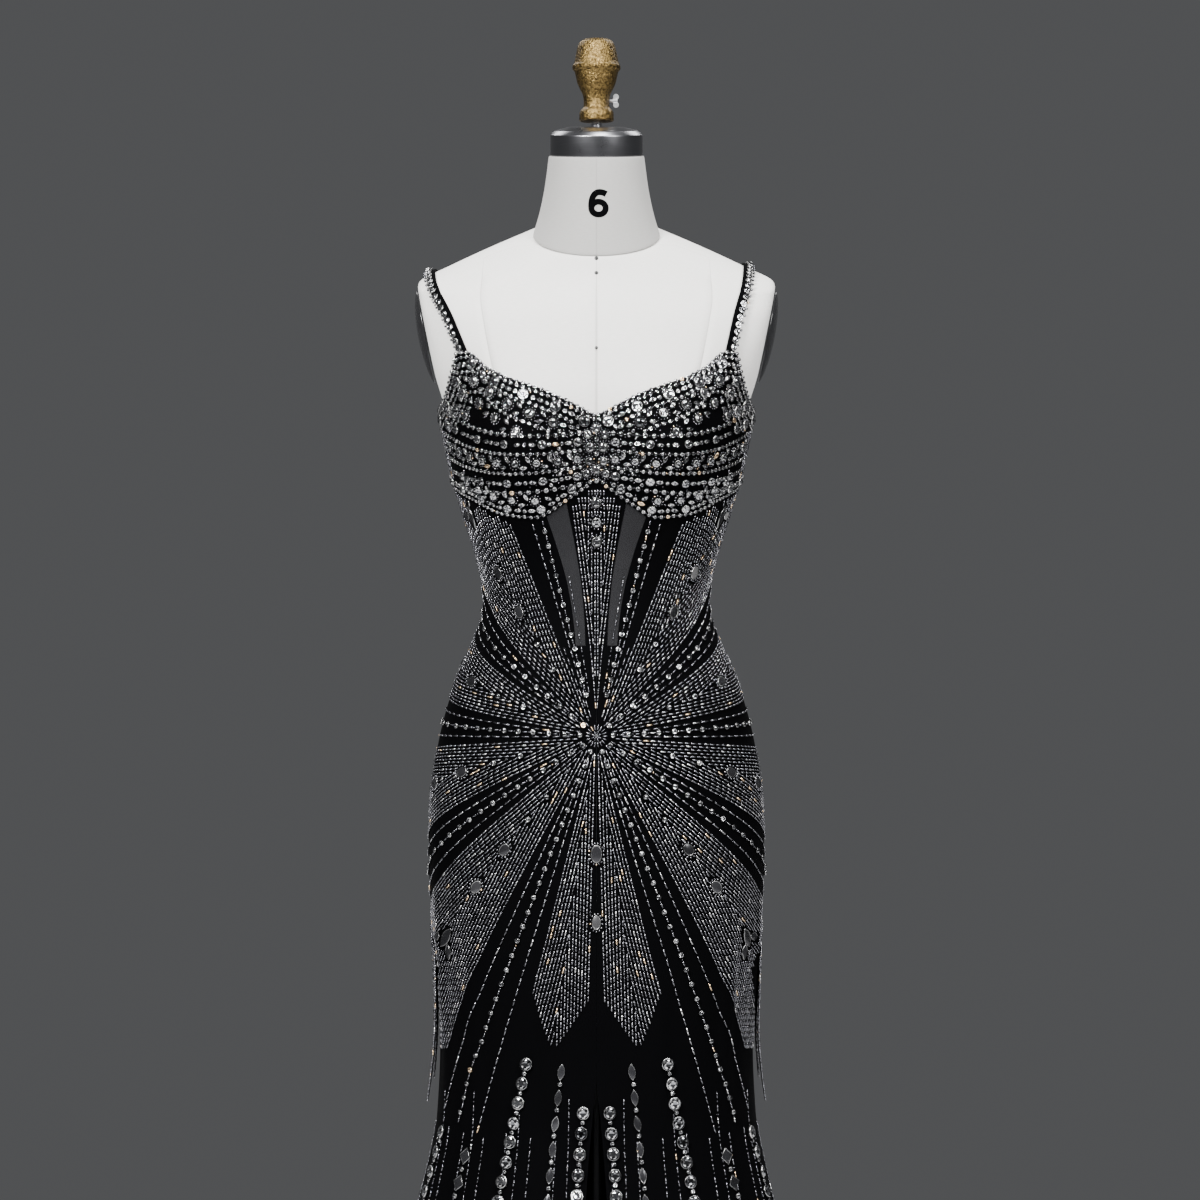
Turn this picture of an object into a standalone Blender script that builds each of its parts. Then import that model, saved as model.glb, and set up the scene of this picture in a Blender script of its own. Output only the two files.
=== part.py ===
"""An evening gown on a limbless dress form, standing on the floor.

Metres, +Z up, the front of the gown faces -Y. The origin is the middle of the stand's underside.
The gown and the form share one figure: smooth level sections read from a table, each a rounded
oval, with two soft bust mounds. A place on the figure is an angle round it, in degrees from the
front centre (+ towards +X), and a height from the waist. Cloth is a thin wall off that figure.
"""

import math

import bmesh
import bpy
import numpy as np
from mathutils import Matrix, Vector

# ---------------------------------------------------------------- driving sizes
WAIST = 1.060  # the waist above the floor
HEM = 0.020  # the hem above the floor
SEAM = 0.0003  # between the edges of two pieces that are sewn together
SEAT = 0.0003  # between two hard pieces that touch
EASE = 0.0014  # between the form and the cloth
CLOTH = 0.0015  # beaded net on its lining
NET = 0.0010  # the sheer side-front net alone

WAIST_SEAM = -0.042  # where the bodice meets the skirt
UNDERBUST_SEAM = 0.00021  # half the height between the edges of that seam, which slopes
SLIT_TOP = -0.488  # the front slit's upper end
SLIT_HALF_OPEN, SLIT_REACH = 0.022, 0.18  # half its opening far below that end, and how soon it opens
STRAP_WIDTH = 0.010
STRAP_THICKNESS = 0.0020

# The form's level sections. Heights are from the waist.
# Columns: height, half_width, front, back, roundness.
FORM_SECTIONS = (
    (-0.330, 0.158, 0.100, 0.112, 2.3),
    (-0.285, 0.1690, 0.108, 0.124, 2.3),
    (-0.240, 0.1725, 0.111, 0.131, 2.3),
    (-0.195, 0.1705, 0.112, 0.132, 2.3),
    (-0.140, 0.1620, 0.111, 0.124, 2.2),
    (-0.085, 0.1465, 0.106, 0.108, 2.2),
    (-0.045, 0.1290, 0.099, 0.096, 2.2),
    (-0.020, 0.1195, 0.096, 0.092, 2.15),
    (0.000, 0.1155, 0.094, 0.090, 2.15),
    (0.020, 0.1168, 0.0935, 0.0900, 2.15),
    (0.045, 0.1215, 0.094, 0.091, 2.2),
    (0.090, 0.1350, 0.099, 0.097, 2.3),
    (0.140, 0.1500, 0.106, 0.104, 2.4),
    (0.180, 0.1580, 0.110, 0.108, 2.4),
    (0.213, 0.1635, 0.110, 0.109, 2.35),
    (0.245, 0.1780, 0.105, 0.108, 2.3),
    (0.280, 0.1900, 0.096, 0.103, 2.25),
    (0.310, 0.1965, 0.084, 0.095, 2.15),
    (0.330, 0.1960, 0.075, 0.087, 2.05),
    (0.339, 0.1880, 0.071, 0.082, 2.0),
    (0.351, 0.1610, 0.066, 0.076, 1.95),
    (0.3675, 0.1210, 0.060, 0.068, 1.95),
    (0.387, 0.0670, 0.055, 0.060, 2.0),
)
FORM_STEP = 0.024  # the most height between two of the form's rings
FORM_COLUMNS = 40  # the points of a ring
FORM_FOOT = 0.93  # the underside's share of the lowest ring, whose edge is rounded off
NECK_DIP = 0.026  # how far the neck seam is below its side height at the front
DIP_START = 0.290  # the height where the sections begin to tilt towards that seam
BUST = {
    "across": 0.082, "height": 0.150, "out": 0.028, "wide": 0.055, "above": 0.080, "below": 0.046,
    "fade": 0.6,  # how it dies away towards the side
}

# The arm is cut off in a plane that leans out towards the shoulder, by a block from low to high.
ARM_PLANE = {"height": 0.193, "half_width": 0.161, "lean": 0.199, "low": 0.120, "high": 0.420, "reach": 0.300}
ARM_PLATE = {
    "height": 0.281, "centre_y": 0.004, "half_depth": 0.036, "half_tall": 0.050, "dome": 0.008,
    "cut": 0.35,  # the dome is the part of a ball above this share of its radius
}

# The skirt below the hips, where it hangs clear of the form: the cloth's own level sections.
# Columns: height, half_width, front, back, roundness.
SKIRT_LEAVES_FORM = -0.215
SKIRT_SECTIONS = (
    (-0.260, 0.1730, 0.113, 0.132, 2.3),
    (-0.320, 0.1700, 0.115, 0.132, 2.3),
    (-0.390, 0.1645, 0.117, 0.130, 2.3),
    (-0.460, 0.1610, 0.119, 0.130, 2.3),
    (-0.530, 0.1640, 0.124, 0.136, 2.25),
    (-0.600, 0.1770, 0.136, 0.152, 2.2),
    (-0.680, 0.1990, 0.158, 0.178, 2.1),
    (-0.780, 0.2350, 0.196, 0.218, 2.05),
    (-0.900, 0.2830, 0.248, 0.272, 2.0),
    (-1.040, 0.3350, 0.306, 0.334, 2.0),
)
# The flutes of the flared hem: soft ridges that grow from their start down to the hem.
# Columns: angle, spread, depth, start.
FLUTES = (
    (24, 15, 0.020, -0.600),
    (57, 17, 0.026, -0.560),
    (93, 18, 0.023, -0.620),
    (128, 15, 0.027, -0.570),
    (162, 17, 0.024, -0.600),
    (-162, 17, 0.026, -0.580),
    (-129, 16, 0.023, -0.610),
    (-95, 17, 0.026, -0.570),
    (-59, 16, 0.024, -0.600),
    (-25, 16, 0.022, -0.570),
)

# Edges of the pieces. Columns: angle, height.
NECKLINE = (
    (0.0, 0.194),
    (6.3, 0.206),
    (16.1, 0.2195),
    (26.5, 0.230),
    (35.5, 0.2436),
    (42.6, 0.2600),
    (47.9, 0.2600),
    (53.3, 0.2436),
    (63.7, 0.2226),
    (76.3, 0.2080),
    (90.0, 0.2030),
)
UNDERBUST = ((0, 0.124), (9.8, 0.105), (24, 0.088), (40, 0.092), (60, 0.108), (90, 0.126))
BACK_TOP = (
    (90, 0.203), (110, 0.190), (127, 0.175), (133, 0.182), (140, 0.182), (147, 0.167), (180, 0.125)
)

# The upright lines of each bodice piece. Columns: angle at the top, angle at the waist seam.
CENTRE_FRONT = ((-9.8, -3.9), (-4.9, -2.0), (0, 0), (4.9, 2.0), (9.8, 3.9))
SHEER_FRONT = ((9.8, 3.9), (14.3, 5.9), (18.8, 7.9))
SIDE_FRONT = (
    (18.8, 7.9), (26.5, 18), (35.5, 29), (42.6, 38), (47.9, 44), (53.3, 50), (63.7, 62), (76.3, 76), (90, 90)
)
CUP_ANGLES = (0, 4.9, 9.8, 14.3, 18.8, 26.5, 35.5, 42.6, 47.9, 53.3, 63.7, 76.3, 90)
BACK_ANGLES = (90, 98, 104, 110, 118, 127, 133, 140, 147, 158, 169, 180)
BODICE_ROWS, CUP_ROWS = 12, 8
SKIRT_COLUMNS = 16
SKIRT_ROWS = 22
SKIRT_ROW_GROWTH = 1.35  # above 1, the rows lie closer together at the hips than at the hem

# The straps: how far each is from the middle on the shoulder, at the cup and at the back.
STRAPS = {"left": {"side": -1, "shoulder": 0.173}, "right": {"side": 1, "shoulder": 0.158}}
STRAP_AT_CUP = {"across": 0.1365, "height": 0.2600}
STRAP_AT_BACK = {"across": 0.1155, "height": 0.1820}
STRAP_STEPS = 11
STRAP_CREST = {"low": 0.330, "high": 0.387, "step": 0.0001, "inside": 0.0006}  # the search for its top

# The bead fringe that hangs from the hip bands in a point at each side.
FRINGE = {
    "top": -0.330, "tip": -0.525, "half_angle": 17.0, "tip_angle": 0.6, "off": 0.0004, "hang": 0.0095,
    "thick": 0.0030, "rows": 6,
}

# The neck. Columns of its rings: share of its height, share of the torso's seam in its outline.
NECK_TOP = 0.471
NECK_TOP_RADIUS = 0.050
NECK_TIP = 0.14  # the slope by which the top of the neck and the cap fall towards the front
NECK_RINGS = ((0.0, 1.0), (0.12, 0.80), (0.35, 0.50), (0.65, 0.22), (1.0, 0.0))

# The cap and the finial, as radius and height above the waist.
CAP_PROFILE = (
    (0.0, 0.5020), (0.0300, 0.5012), (0.0440, 0.4975), (0.0485, 0.4930), (0.0485, 0.4713), (0.0, 0.4713)
)
ROD_RADIUS = 0.0055
FINIAL_PROFILE = (
    (0.0, 0.5945), (0.0120, 0.5940), (0.0172, 0.5912), (0.0196, 0.5862), (0.0212, 0.5790),
    (0.0229, 0.5700), (0.0237, 0.5675), (0.0252, 0.5658), (0.0252, 0.5620), (0.0230, 0.5600),
    (0.0220, 0.5560), (0.0203, 0.5480), (0.0170, 0.5405), (0.0142, 0.5355), (0.0132, 0.5290),
    (0.0136, 0.5215), (0.0166, 0.5190), (0.0178, 0.5165), (0.0182, 0.5074), (0.0, 0.5074),
)
SCREW = {
    "height": 0.529, "stem": 0.0016, "stem_start": 0.0137, "stem_end": 0.0182,
    "hub": 0.0028, "hub_start": 0.0172, "hub_end": 0.0220,
    "wing": 0.0030, "wing_centre": 0.0205, "wing_reach": 0.0042, "wing_thick": 0.0014,
}

# The stand.
POLE_RADIUS = 0.0125
BASE_PROFILE = (
    (0, 0.038), (0.024, 0.038), (0.030, 0.032), (0.036, 0.018), (0.188, 0.012), (0.200, 0.007),
    (0.200, 0), (0, 0),
)

# The invisible zip's slider and pull at the top of the back seam.
SLIDER = {"height": 0.1130, "width": 0.0046, "deep": 0.0022, "tall": 0.0085}
HOOK = {"width": 0.0022, "reach": 0.0033, "tall": 0.0034, "bore": 0.0009}
PULL = {
    "bar": 0.0006, "half_bar": 0.0023, "arm_inside": 0.0015, "arm_outside": 0.0025, "arm_length": 0.0055,
    "arm_thick": 0.0010, "tab_top": 0.0043, "tab_width": 0.0054, "tab_length": 0.0200, "tab_thick": 0.00104,
}

TURN_SIDES = 32  # the sides of a turned piece

MATERIALS = {
    "linen": ((0.86, 0.84, 0.80), 0.85, 0.0),
    "beaded_net": ((0.03, 0.03, 0.035), 0.55, 0.0),
    "sheer_net": ((0.12, 0.12, 0.13), 0.70, 0.0),
    "strap_band": ((0.03, 0.03, 0.035), 0.55, 0.0),
    "glass_beads": ((0.10, 0.10, 0.11), 0.30, 0.2),
    "black_metal": ((0.02, 0.02, 0.02), 0.35, 0.3),
    "brushed_steel": ((0.45, 0.45, 0.47), 0.32, 1.0),
    "dark_plate": ((0.05, 0.05, 0.05), 0.12, 1.0),
    "antique_gold": ((0.55, 0.40, 0.16), 0.42, 1.0),
    "chrome": ((0.80, 0.80, 0.82), 0.10, 1.0),
    "cast_iron": ((0.06, 0.06, 0.065), 0.55, 0.3),
}


# ---------------------------------------------------------------- the figure
class Sections:
    """Level sections that pass smoothly through the rows of a table, and never overshoot them."""

    def __init__(self, rows):
        table = np.array(sorted(rows), dtype=float)
        self.heights, self.values = table[:, 0], table[:, 1:]
        rises = np.diff(self.values, axis=0) / np.diff(self.heights)[:, None]
        before, after = rises[:-1], rises[1:]
        same_way = before * after > 0
        total = np.where(same_way, before + after, 1.0)
        middle = np.where(same_way, 2 * before * after / total, 0.0)
        self.slopes = np.vstack((rises[:1], middle, rises[-1:]))

    def at(self, height):
        """half_width, front, back and roundness at a height."""
        row = int(np.clip(np.searchsorted(self.heights, height) - 1, 0, len(self.heights) - 2))
        step = self.heights[row + 1] - self.heights[row]
        t = (height - self.heights[row]) / step
        rise = t * t * (3 - 2 * t)
        start_slope = t * (1 - t) ** 2 * step
        end_slope = t * t * (t - 1) * step
        return (
            self.values[row] * (1 - rise)
            + self.values[row + 1] * rise
            + self.slopes[row] * start_slope
            + self.slopes[row + 1] * end_slope
        )


FORM = Sections(FORM_SECTIONS)
SHARED_HEIGHTS = (-0.155, -0.185, SKIRT_LEAVES_FORM)  # rows of the form that lead into the skirt's own
SKIRT = Sections([(height, *FORM.at(height)) for height in SHARED_HEIGHTS] + list(SKIRT_SECTIONS))


def ramp(value, start, end):
    """A soft step from 0 at start to 1 at end."""
    t = min(1.0, max(0.0, (value - start) / (end - start)))
    return t * t * (3 - 2 * t)


def sections_at(height):
    """The sections that the cloth follows: the form's, and below the hips the skirt's own."""
    return SKIRT if height < SKIRT_LEAVES_FORM else FORM


def bust_out(across, height):
    """How far a bust mound stands out at a distance from the centre and a height."""
    rise = height - BUST["height"]
    tall = BUST["above"] if rise > 0 else BUST["below"]
    aside = (abs(across) - BUST["across"]) / BUST["wide"]
    return BUST["out"] * math.exp(-(aside**2) - (rise / tall) ** 2)


def flute_out(angle, height):
    """How far the flared hem's flutes stand out at an angle and a height."""
    out = 0.0
    for centre, spread, depth, start in FLUTES:
        away = abs((angle - centre + 180) % 360 - 180) / spread
        if away < 1 and height < start:
            out += depth * (0.5 + 0.5 * math.cos(math.pi * away)) * ramp(height, start, HEM - WAIST)
    return out


def surface(sections, angle, height):
    """The figure's point at an angle in degrees and a height from the waist."""
    half_width, front, back, roundness = sections.at(height)
    sine, cosine = math.sin(math.radians(angle)), math.cos(math.radians(angle))
    power = 2 / roundness
    x = half_width * math.copysign(abs(sine) ** power, sine)
    y = -(front if cosine > 0 else back) * math.copysign(abs(cosine) ** power, cosine)
    if cosine > 0:
        y -= bust_out(x, height) * cosine ** BUST["fade"]
    out = flute_out(angle, height)
    away = math.hypot(x, y)
    tilt = NECK_DIP * ramp(height, DIP_START, FORM_SECTIONS[-1][0]) * y / FORM_SECTIONS[-1][2]
    return Vector((x * (1 + out / away), y * (1 + out / away), WAIST + height + tilt))


def off_surface(sections, angle, height, out):
    """A point that stands out from the figure along its normal."""
    turn, rise = 0.5, 0.002
    along = surface(sections, angle + turn, height) - surface(sections, angle - turn, height)
    up = surface(sections, angle, height + rise) - surface(sections, angle, height - rise)
    return surface(sections, angle, height) + along.cross(up).normalized() * out


def shifted(angle, height, distance):
    """The angle whose point lies a small distance further round the level section."""
    sections = sections_at(height)
    start = surface(sections, angle, height)
    low, high = 0.0, 6.0
    for _ in range(24):
        middle = (low + high) / 2
        reached = (surface(sections, angle + math.copysign(middle, distance), height) - start).length
        low, high = (middle, high) if reached < abs(distance) else (low, middle)
    return angle + math.copysign(middle, distance)


def along_table(rows, angle):
    """The height of an edge at an angle, straight between the rows of its table."""
    angles, heights = zip(*rows)
    return float(np.interp(abs(angle), angles, heights))


def angle_across(across, height, back=False):
    """The angle of a form point at a distance from the middle plane."""
    half_width, _, _, roundness = FORM.at(height)
    sine = min(1.0, abs(across) / half_width) ** (roundness / 2)
    angle = math.degrees(math.asin(sine))
    return math.copysign(180 - angle if back else angle, across)


# ---------------------------------------------------------------- making objects
def clear_scene():
    for thing in list(bpy.data.objects):
        bpy.data.objects.remove(thing)


def collection(name):
    made = bpy.data.collections.new(name)
    bpy.context.scene.collection.children.link(made)
    return made


def material(name):
    if name in bpy.data.materials:
        return bpy.data.materials[name]
    colour, roughness, metallic = MATERIALS[name]
    made = bpy.data.materials.new(name)
    made.use_nodes = True
    shader = made.node_tree.nodes["Principled BSDF"]
    shader.inputs["Base Color"].default_value = (*colour, 1)
    shader.inputs["Roughness"].default_value = roughness
    shader.inputs["Metallic"].default_value = metallic
    made.diffuse_color = (*colour, 1)
    return made


def add_object(name, shape, finish, location=(0, 0, 0)):
    """An object in the gown's collection, from a bmesh or a mesh."""
    if isinstance(shape, bmesh.types.BMesh):
        mesh = bpy.data.meshes.new(name)
        shape.to_mesh(mesh)
        shape.free()
    else:
        mesh = shape
    made = bpy.data.objects.new(name, mesh)
    made.location = location
    made.data.materials.append(material(finish))
    PARTS.objects.link(made)
    return made


def smooth(thing, degrees=40):
    thing.data.shade_smooth()
    thing.data.set_sharp_from_angle(angle=math.radians(degrees))
    return thing


def face_outward(shape):
    """Makes the faces of a closed bmesh agree and point out."""
    bmesh.ops.recalc_face_normals(shape, faces=shape.faces)
    if shape.calc_volume(signed=True) < 0:
        bmesh.ops.reverse_faces(shape, faces=shape.faces)


def wall(name, inner, outer, finish):
    """A closed wall between two grids of points, which are lists of rows from top to bottom."""
    shape = bmesh.new()
    skins = [[[shape.verts.new(point) for point in row] for row in grid] for grid in (inner, outer)]
    rows, columns = len(inner), len(inner[0])
    rim = [(0, j) for j in range(columns)] + [(i, columns - 1) for i in range(1, rows)]
    rim += [(rows - 1, j) for j in range(columns - 2, -1, -1)] + [(i, 0) for i in range(rows - 2, 0, -1)]
    for skin in skins:
        for i in range(rows - 1):
            for j in range(columns - 1):
                shape.faces.new((skin[i][j], skin[i][j + 1], skin[i + 1][j + 1], skin[i + 1][j]))
    for (i, j), (k, m) in zip(rim, rim[1:] + rim[:1]):
        shape.faces.new((skins[0][i][j], skins[0][k][m], skins[1][k][m], skins[1][i][j]))
    face_outward(shape)
    return smooth(add_object(name, shape, finish))


def cloth(name, places, finish="beaded_net", thickness=CLOTH):
    """A cloth piece whose grid of (angle, height) places is given by rows from top to bottom."""
    def skin(out):
        return [[off_surface(sections_at(place[1]), *place, out) for place in row] for row in places]

    return wall(name, skin(EASE), skin(EASE + thickness), finish)


def loft(name, rings, finish):
    """A closed solid through rings of points, from bottom to top, with flat ends."""
    shape = bmesh.new()
    loops = [[shape.verts.new(point) for point in ring] for ring in rings]
    for lower, upper in zip(loops, loops[1:]):
        for k in range(len(lower)):
            following = (k + 1) % len(lower)
            shape.faces.new((lower[k], lower[following], upper[following], upper[k]))
    shape.faces.new(list(reversed(loops[0])))
    shape.faces.new(loops[-1])
    face_outward(shape)
    return smooth(add_object(name, shape, finish))


def turned(name, profile, finish, base=0.0):
    """A turned piece from radius and height pairs that run down its outer side."""
    shape = bmesh.new()
    points = [shape.verts.new((radius, 0, base + height)) for radius, height in profile]
    for above, below in zip(points, points[1:]):
        shape.edges.new((above, below))
    made = add_object(name, shape, finish)
    screw = made.modifiers.new("Turn", "SCREW")
    screw.steps = screw.render_steps = TURN_SIDES
    screw.use_merge_vertices = True
    screw.merge_threshold = 0.00001
    screw.use_smooth_shade = True
    return made


def cylinder_profile(radius, top, foot):
    return ((0, top), (radius, top), (radius, foot), (0, foot))


def box(shape, low, high):
    """Adds a box between two corners to a bmesh."""
    middle = (Vector(low) + Vector(high)) / 2
    sides = Vector(high) - Vector(low)
    made = bmesh.ops.create_cube(shape, size=1)
    bmesh.ops.scale(shape, vec=sides, verts=made["verts"])
    bmesh.ops.translate(shape, vec=middle, verts=made["verts"])


def rod_along_x(shape, radius, start, end, y, z, sides=12):
    """Adds a cylinder along X to a bmesh."""
    made = bmesh.ops.create_cone(
        shape, cap_ends=True, segments=sides, radius1=radius, radius2=radius, depth=end - start
    )
    bmesh.ops.rotate(shape, cent=(0, 0, 0), matrix=QUARTER_TURN, verts=made["verts"])
    bmesh.ops.translate(shape, vec=((start + end) / 2, y, z), verts=made["verts"])


def cutter(name, shape):
    """A hidden object that a Boolean reads."""
    mesh = bpy.data.meshes.new(name)
    shape.to_mesh(mesh)
    shape.free()
    made = bpy.data.objects.new(name, mesh)
    made.hide_render = True
    made.display_type = "WIRE"
    CUTTERS.objects.link(made)
    return made


def boolean(thing, tool, operation):
    change = thing.modifiers.new(operation.title(), "BOOLEAN")
    change.operation = operation
    change.solver = "EXACT"
    change.object = tool


# ---------------------------------------------------------------- the dress form
def form_ring(height):
    return [surface(FORM, 360 * k / FORM_COLUMNS, height) for k in range(FORM_COLUMNS)]


def arm_plane_across(height):
    return ARM_PLANE["half_width"] + ARM_PLANE["lean"] * (height - ARM_PLANE["height"])


def arm_cutter(side):
    """A block outside the plane that the arm is cut off in."""
    low, high, far = ARM_PLANE["low"], ARM_PLANE["high"], ARM_PLANE["reach"]
    corners = [(arm_plane_across(low), low), (far, low), (far, high), (arm_plane_across(high), high)]
    shape = bmesh.new()
    face = shape.faces.new([shape.verts.new((side * x, -far, WAIST + z)) for x, z in corners])
    grown = bmesh.ops.extrude_face_region(shape, geom=[face])
    moved = [part for part in grown["geom"] if isinstance(part, bmesh.types.BMVert)]
    bmesh.ops.translate(shape, vec=(0, 2 * far, 0), verts=moved)
    face_outward(shape)
    return cutter(f"arm_cutter_{'left' if side < 0 else 'right'}", shape)


def make_torso():
    heights = []
    for (low, *_), (high, *_) in zip(FORM_SECTIONS, FORM_SECTIONS[1:]):
        heights += list(np.linspace(low, high, 2 + int((high - low) / FORM_STEP)))[1:]
    bottom = form_ring(FORM_SECTIONS[0][0])
    for point in bottom:
        point.xy *= FORM_FOOT
    torso = loft("form_torso", [bottom] + [form_ring(height) for height in heights], "linen")
    for side in (-1, 1):
        boolean(torso, arm_cutter(side), "DIFFERENCE")
    return torso


def make_neck():
    """The linen neck, from its dipping seam on the torso up to the cap."""
    seam = form_ring(FORM_SECTIONS[-1][0])
    rings = []
    for share, flare in NECK_RINGS:
        ring = []
        for k, point in enumerate(seam):
            turn = 2 * math.pi * k / len(seam)
            top = NECK_TOP_RADIUS * Vector((math.sin(turn), -math.cos(turn), 0))
            top.z = WAIST + NECK_TOP + NECK_TIP * top.y
            start = point + Vector((0, 0, SEAT))
            across = top.lerp(start, flare)
            ring.append(Vector((across.x, across.y, start.z + (top.z - start.z) * share)))
        rings.append(ring)
    return loft("form_neck", rings, "linen")


def make_arm_plate(side):
    """A domed oval plate that lies on the flat of the arm's cut."""
    shape = bmesh.new()
    bmesh.ops.create_uvsphere(shape, u_segments=24, v_segments=12, radius=1)
    everything = shape.verts[:] + shape.edges[:] + shape.faces[:]
    bmesh.ops.bisect_plane(
        shape, geom=everything, plane_co=(0, 0, ARM_PLATE["cut"]), plane_no=(0, 0, 1), clear_inner=True
    )
    bmesh.ops.holes_fill(shape, edges=[edge for edge in shape.edges if edge.is_boundary])
    rim = math.sqrt(1 - ARM_PLATE["cut"] ** 2)
    middle = arm_plane_across(ARM_PLATE["height"])
    outward = Vector((1, 0, -ARM_PLANE["lean"])).normalized()
    upward = Vector((ARM_PLANE["lean"], 0, 1)).normalized()
    for vertex in shape.verts:
        x, y, z = vertex.co
        out = SEAT + (z - ARM_PLATE["cut"]) / (1 - ARM_PLATE["cut"]) * ARM_PLATE["dome"]
        tall = y / rim * ARM_PLATE["half_tall"]
        place = Vector((middle, 0, WAIST + ARM_PLATE["height"])) + outward * out + upward * tall
        vertex.co = (side * place.x, ARM_PLATE["centre_y"] + x / rim * ARM_PLATE["half_depth"], place.z)
    face_outward(shape)
    return smooth(add_object(f"arm_plate_{'left' if side < 0 else 'right'}", shape, "dark_plate"))


def make_wing_screw():
    """The small wing screw that holds the finial on the rod. Its origin is on its own axis."""
    size = SCREW
    shape = bmesh.new()
    rod_along_x(shape, size["stem"], size["stem_start"], size["stem_end"], 0, 0)
    screw = add_object("wing_screw", shape, "chrome", location=(0, 0, WAIST + size["height"]))
    hub = bmesh.new()
    rod_along_x(hub, size["hub"], size["hub_start"], size["hub_end"], 0, 0)
    boolean(screw, placed(cutter("screw_hub", hub), screw.location), "UNION")
    for sign in (-1, 1):
        wing = bmesh.new()
        round_wing = {"segments": 16, "radius1": size["wing"], "radius2": size["wing"]}
        made = bmesh.ops.create_cone(wing, cap_ends=True, depth=size["wing_thick"], **round_wing)
        bmesh.ops.rotate(wing, cent=(0, 0, 0), matrix=FACE_FORWARD, verts=made["verts"])
        middle = (size["wing_centre"], 0, sign * size["wing_reach"])
        bmesh.ops.translate(wing, vec=middle, verts=made["verts"])
        boolean(screw, placed(cutter(f"screw_wing_{sign}", wing), screw.location), "UNION")
    return screw


def placed(thing, location):
    thing.location = location
    return thing


def make_neck_cap():
    """The cap, turned about its own foot so that it leans with the top of the neck."""
    profile = [(radius, height - NECK_TOP) for radius, height in CAP_PROFILE]
    cap = turned("neck_cap", profile, "brushed_steel")
    cap.location = (0, 0, WAIST + NECK_TOP)
    cap.rotation_euler = (math.atan(NECK_TIP), 0, 0)


def make_finial_rod():
    """The rod from the cap's sloping top up to the finial's foot."""
    low, high = CAP_PROFILE[0][1] + SEAT, FINIAL_PROFILE[-1][1] - SEAT
    shape = bmesh.new()
    round_rod = {"segments": TURN_SIDES, "radius1": ROD_RADIUS, "radius2": ROD_RADIUS}
    made = bmesh.ops.create_cone(shape, cap_ends=True, depth=high - low, **round_rod)
    for vertex in made["verts"]:
        lean = NECK_TIP * vertex.co.y if vertex.co.z < 0 else 0.0
        vertex.co.z += WAIST + (low + high) / 2 + lean
    smooth(add_object("finial_rod", shape, "brushed_steel"))


def make_form():
    make_torso()
    make_neck()
    for side in (-1, 1):
        make_arm_plate(side)
    make_neck_cap()
    make_finial_rod()
    turned("finial", FINIAL_PROFILE, "antique_gold", base=WAIST)
    make_wing_screw()


def make_stand():
    form_foot = WAIST + FORM_SECTIONS[0][0] - SEAT
    turned("stand_base", BASE_PROFILE, "cast_iron")
    foot = BASE_PROFILE[0][1] + SEAT
    turned("stand_pole", cylinder_profile(POLE_RADIUS, form_foot, foot), "brushed_steel")


# ---------------------------------------------------------------- the bodice
def seam_columns(columns, height_of):
    """Column angles with the outer two moved in by half a seam."""
    angles = list(columns)
    angles[0] = shifted(angles[0], height_of(angles[0]), SEAM / 2)
    angles[-1] = shifted(angles[-1], height_of(angles[-1]), -SEAM / 2)
    return angles


def bodice_places(columns, side, rows=BODICE_ROWS):
    """Places of a piece that hangs from the under-bust seam to the waist seam."""
    low = WAIST_SEAM + SEAM / 2
    tops = seam_columns([top for top, _ in columns], lambda angle: along_table(UNDERBUST, angle))
    feet = seam_columns([foot for _, foot in columns], lambda _: low)
    grid = []
    for share in np.linspace(0, 1, rows + 1):
        row = []
        for k, (top_angle, _) in enumerate(columns):
            high = along_table(UNDERBUST, top_angle) - UNDERBUST_SEAM
            row.append((side * (tops[k] + (feet[k] - tops[k]) * share), high + (low - high) * share))
        grid.append(row)
    return grid


def upright_places(angles, top, bottom, side, rows):
    """Places of a piece whose columns are upright, between two edges given as heights by angle."""
    moved = seam_columns(angles, lambda angle: (top(angle) + bottom(angle)) / 2)
    grid = []
    for share in np.linspace(0, 1, rows + 1):
        heights = [top(angle) + (bottom(angle) - top(angle)) * share for angle in angles]
        grid.append([(side * angle, height) for angle, height in zip(moved, heights)])
    return grid


def make_bodice():
    cloth("bodice_centre_front", bodice_places(CENTRE_FRONT, 1))
    for word, side in (("left", -1), ("right", 1)):
        cloth(f"bodice_sheer_{word}", bodice_places(SHEER_FRONT, side), "sheer_net", NET)
        cloth(f"bodice_side_{word}", bodice_places(SIDE_FRONT, side))
        cup = upright_places(
            CUP_ANGLES,
            lambda angle: along_table(NECKLINE, angle),
            lambda angle: along_table(UNDERBUST, angle) + UNDERBUST_SEAM,
            side,
            CUP_ROWS,
        )
        cloth(f"cup_{word}", cup)
        back = upright_places(
            BACK_ANGLES,
            lambda angle: along_table(BACK_TOP, angle),
            lambda angle: WAIST_SEAM + SEAM / 2,
            side,
            BODICE_ROWS + 1,
        )
        cloth(f"bodice_back_{word}", back)


def strap_route(side, shoulder):
    """(angle, height) places along a strap: up the front, over the shoulder and down the back."""
    search = np.arange(STRAP_CREST["low"], STRAP_CREST["high"], STRAP_CREST["step"])
    crest = next(height for height in search if FORM.at(height)[0] < shoulder + STRAP_CREST["inside"])
    front, back = [], []
    for step in range(STRAP_STEPS):
        share = step / STRAP_STEPS
        climb = 1 - (1 - share) ** 2
        for ends, points in ((STRAP_AT_CUP, front), (STRAP_AT_BACK, back)):
            start = ends["height"] + 2 * SEAM
            height = start + (crest - start) * climb
            across = ends["across"] + (shoulder - ends["across"]) * (height - start) / (crest - start)
            points.append((angle_across(side * across, height, back=points is back), height))
    return front + [(side * 90.0, crest)] + list(reversed(back))


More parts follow.
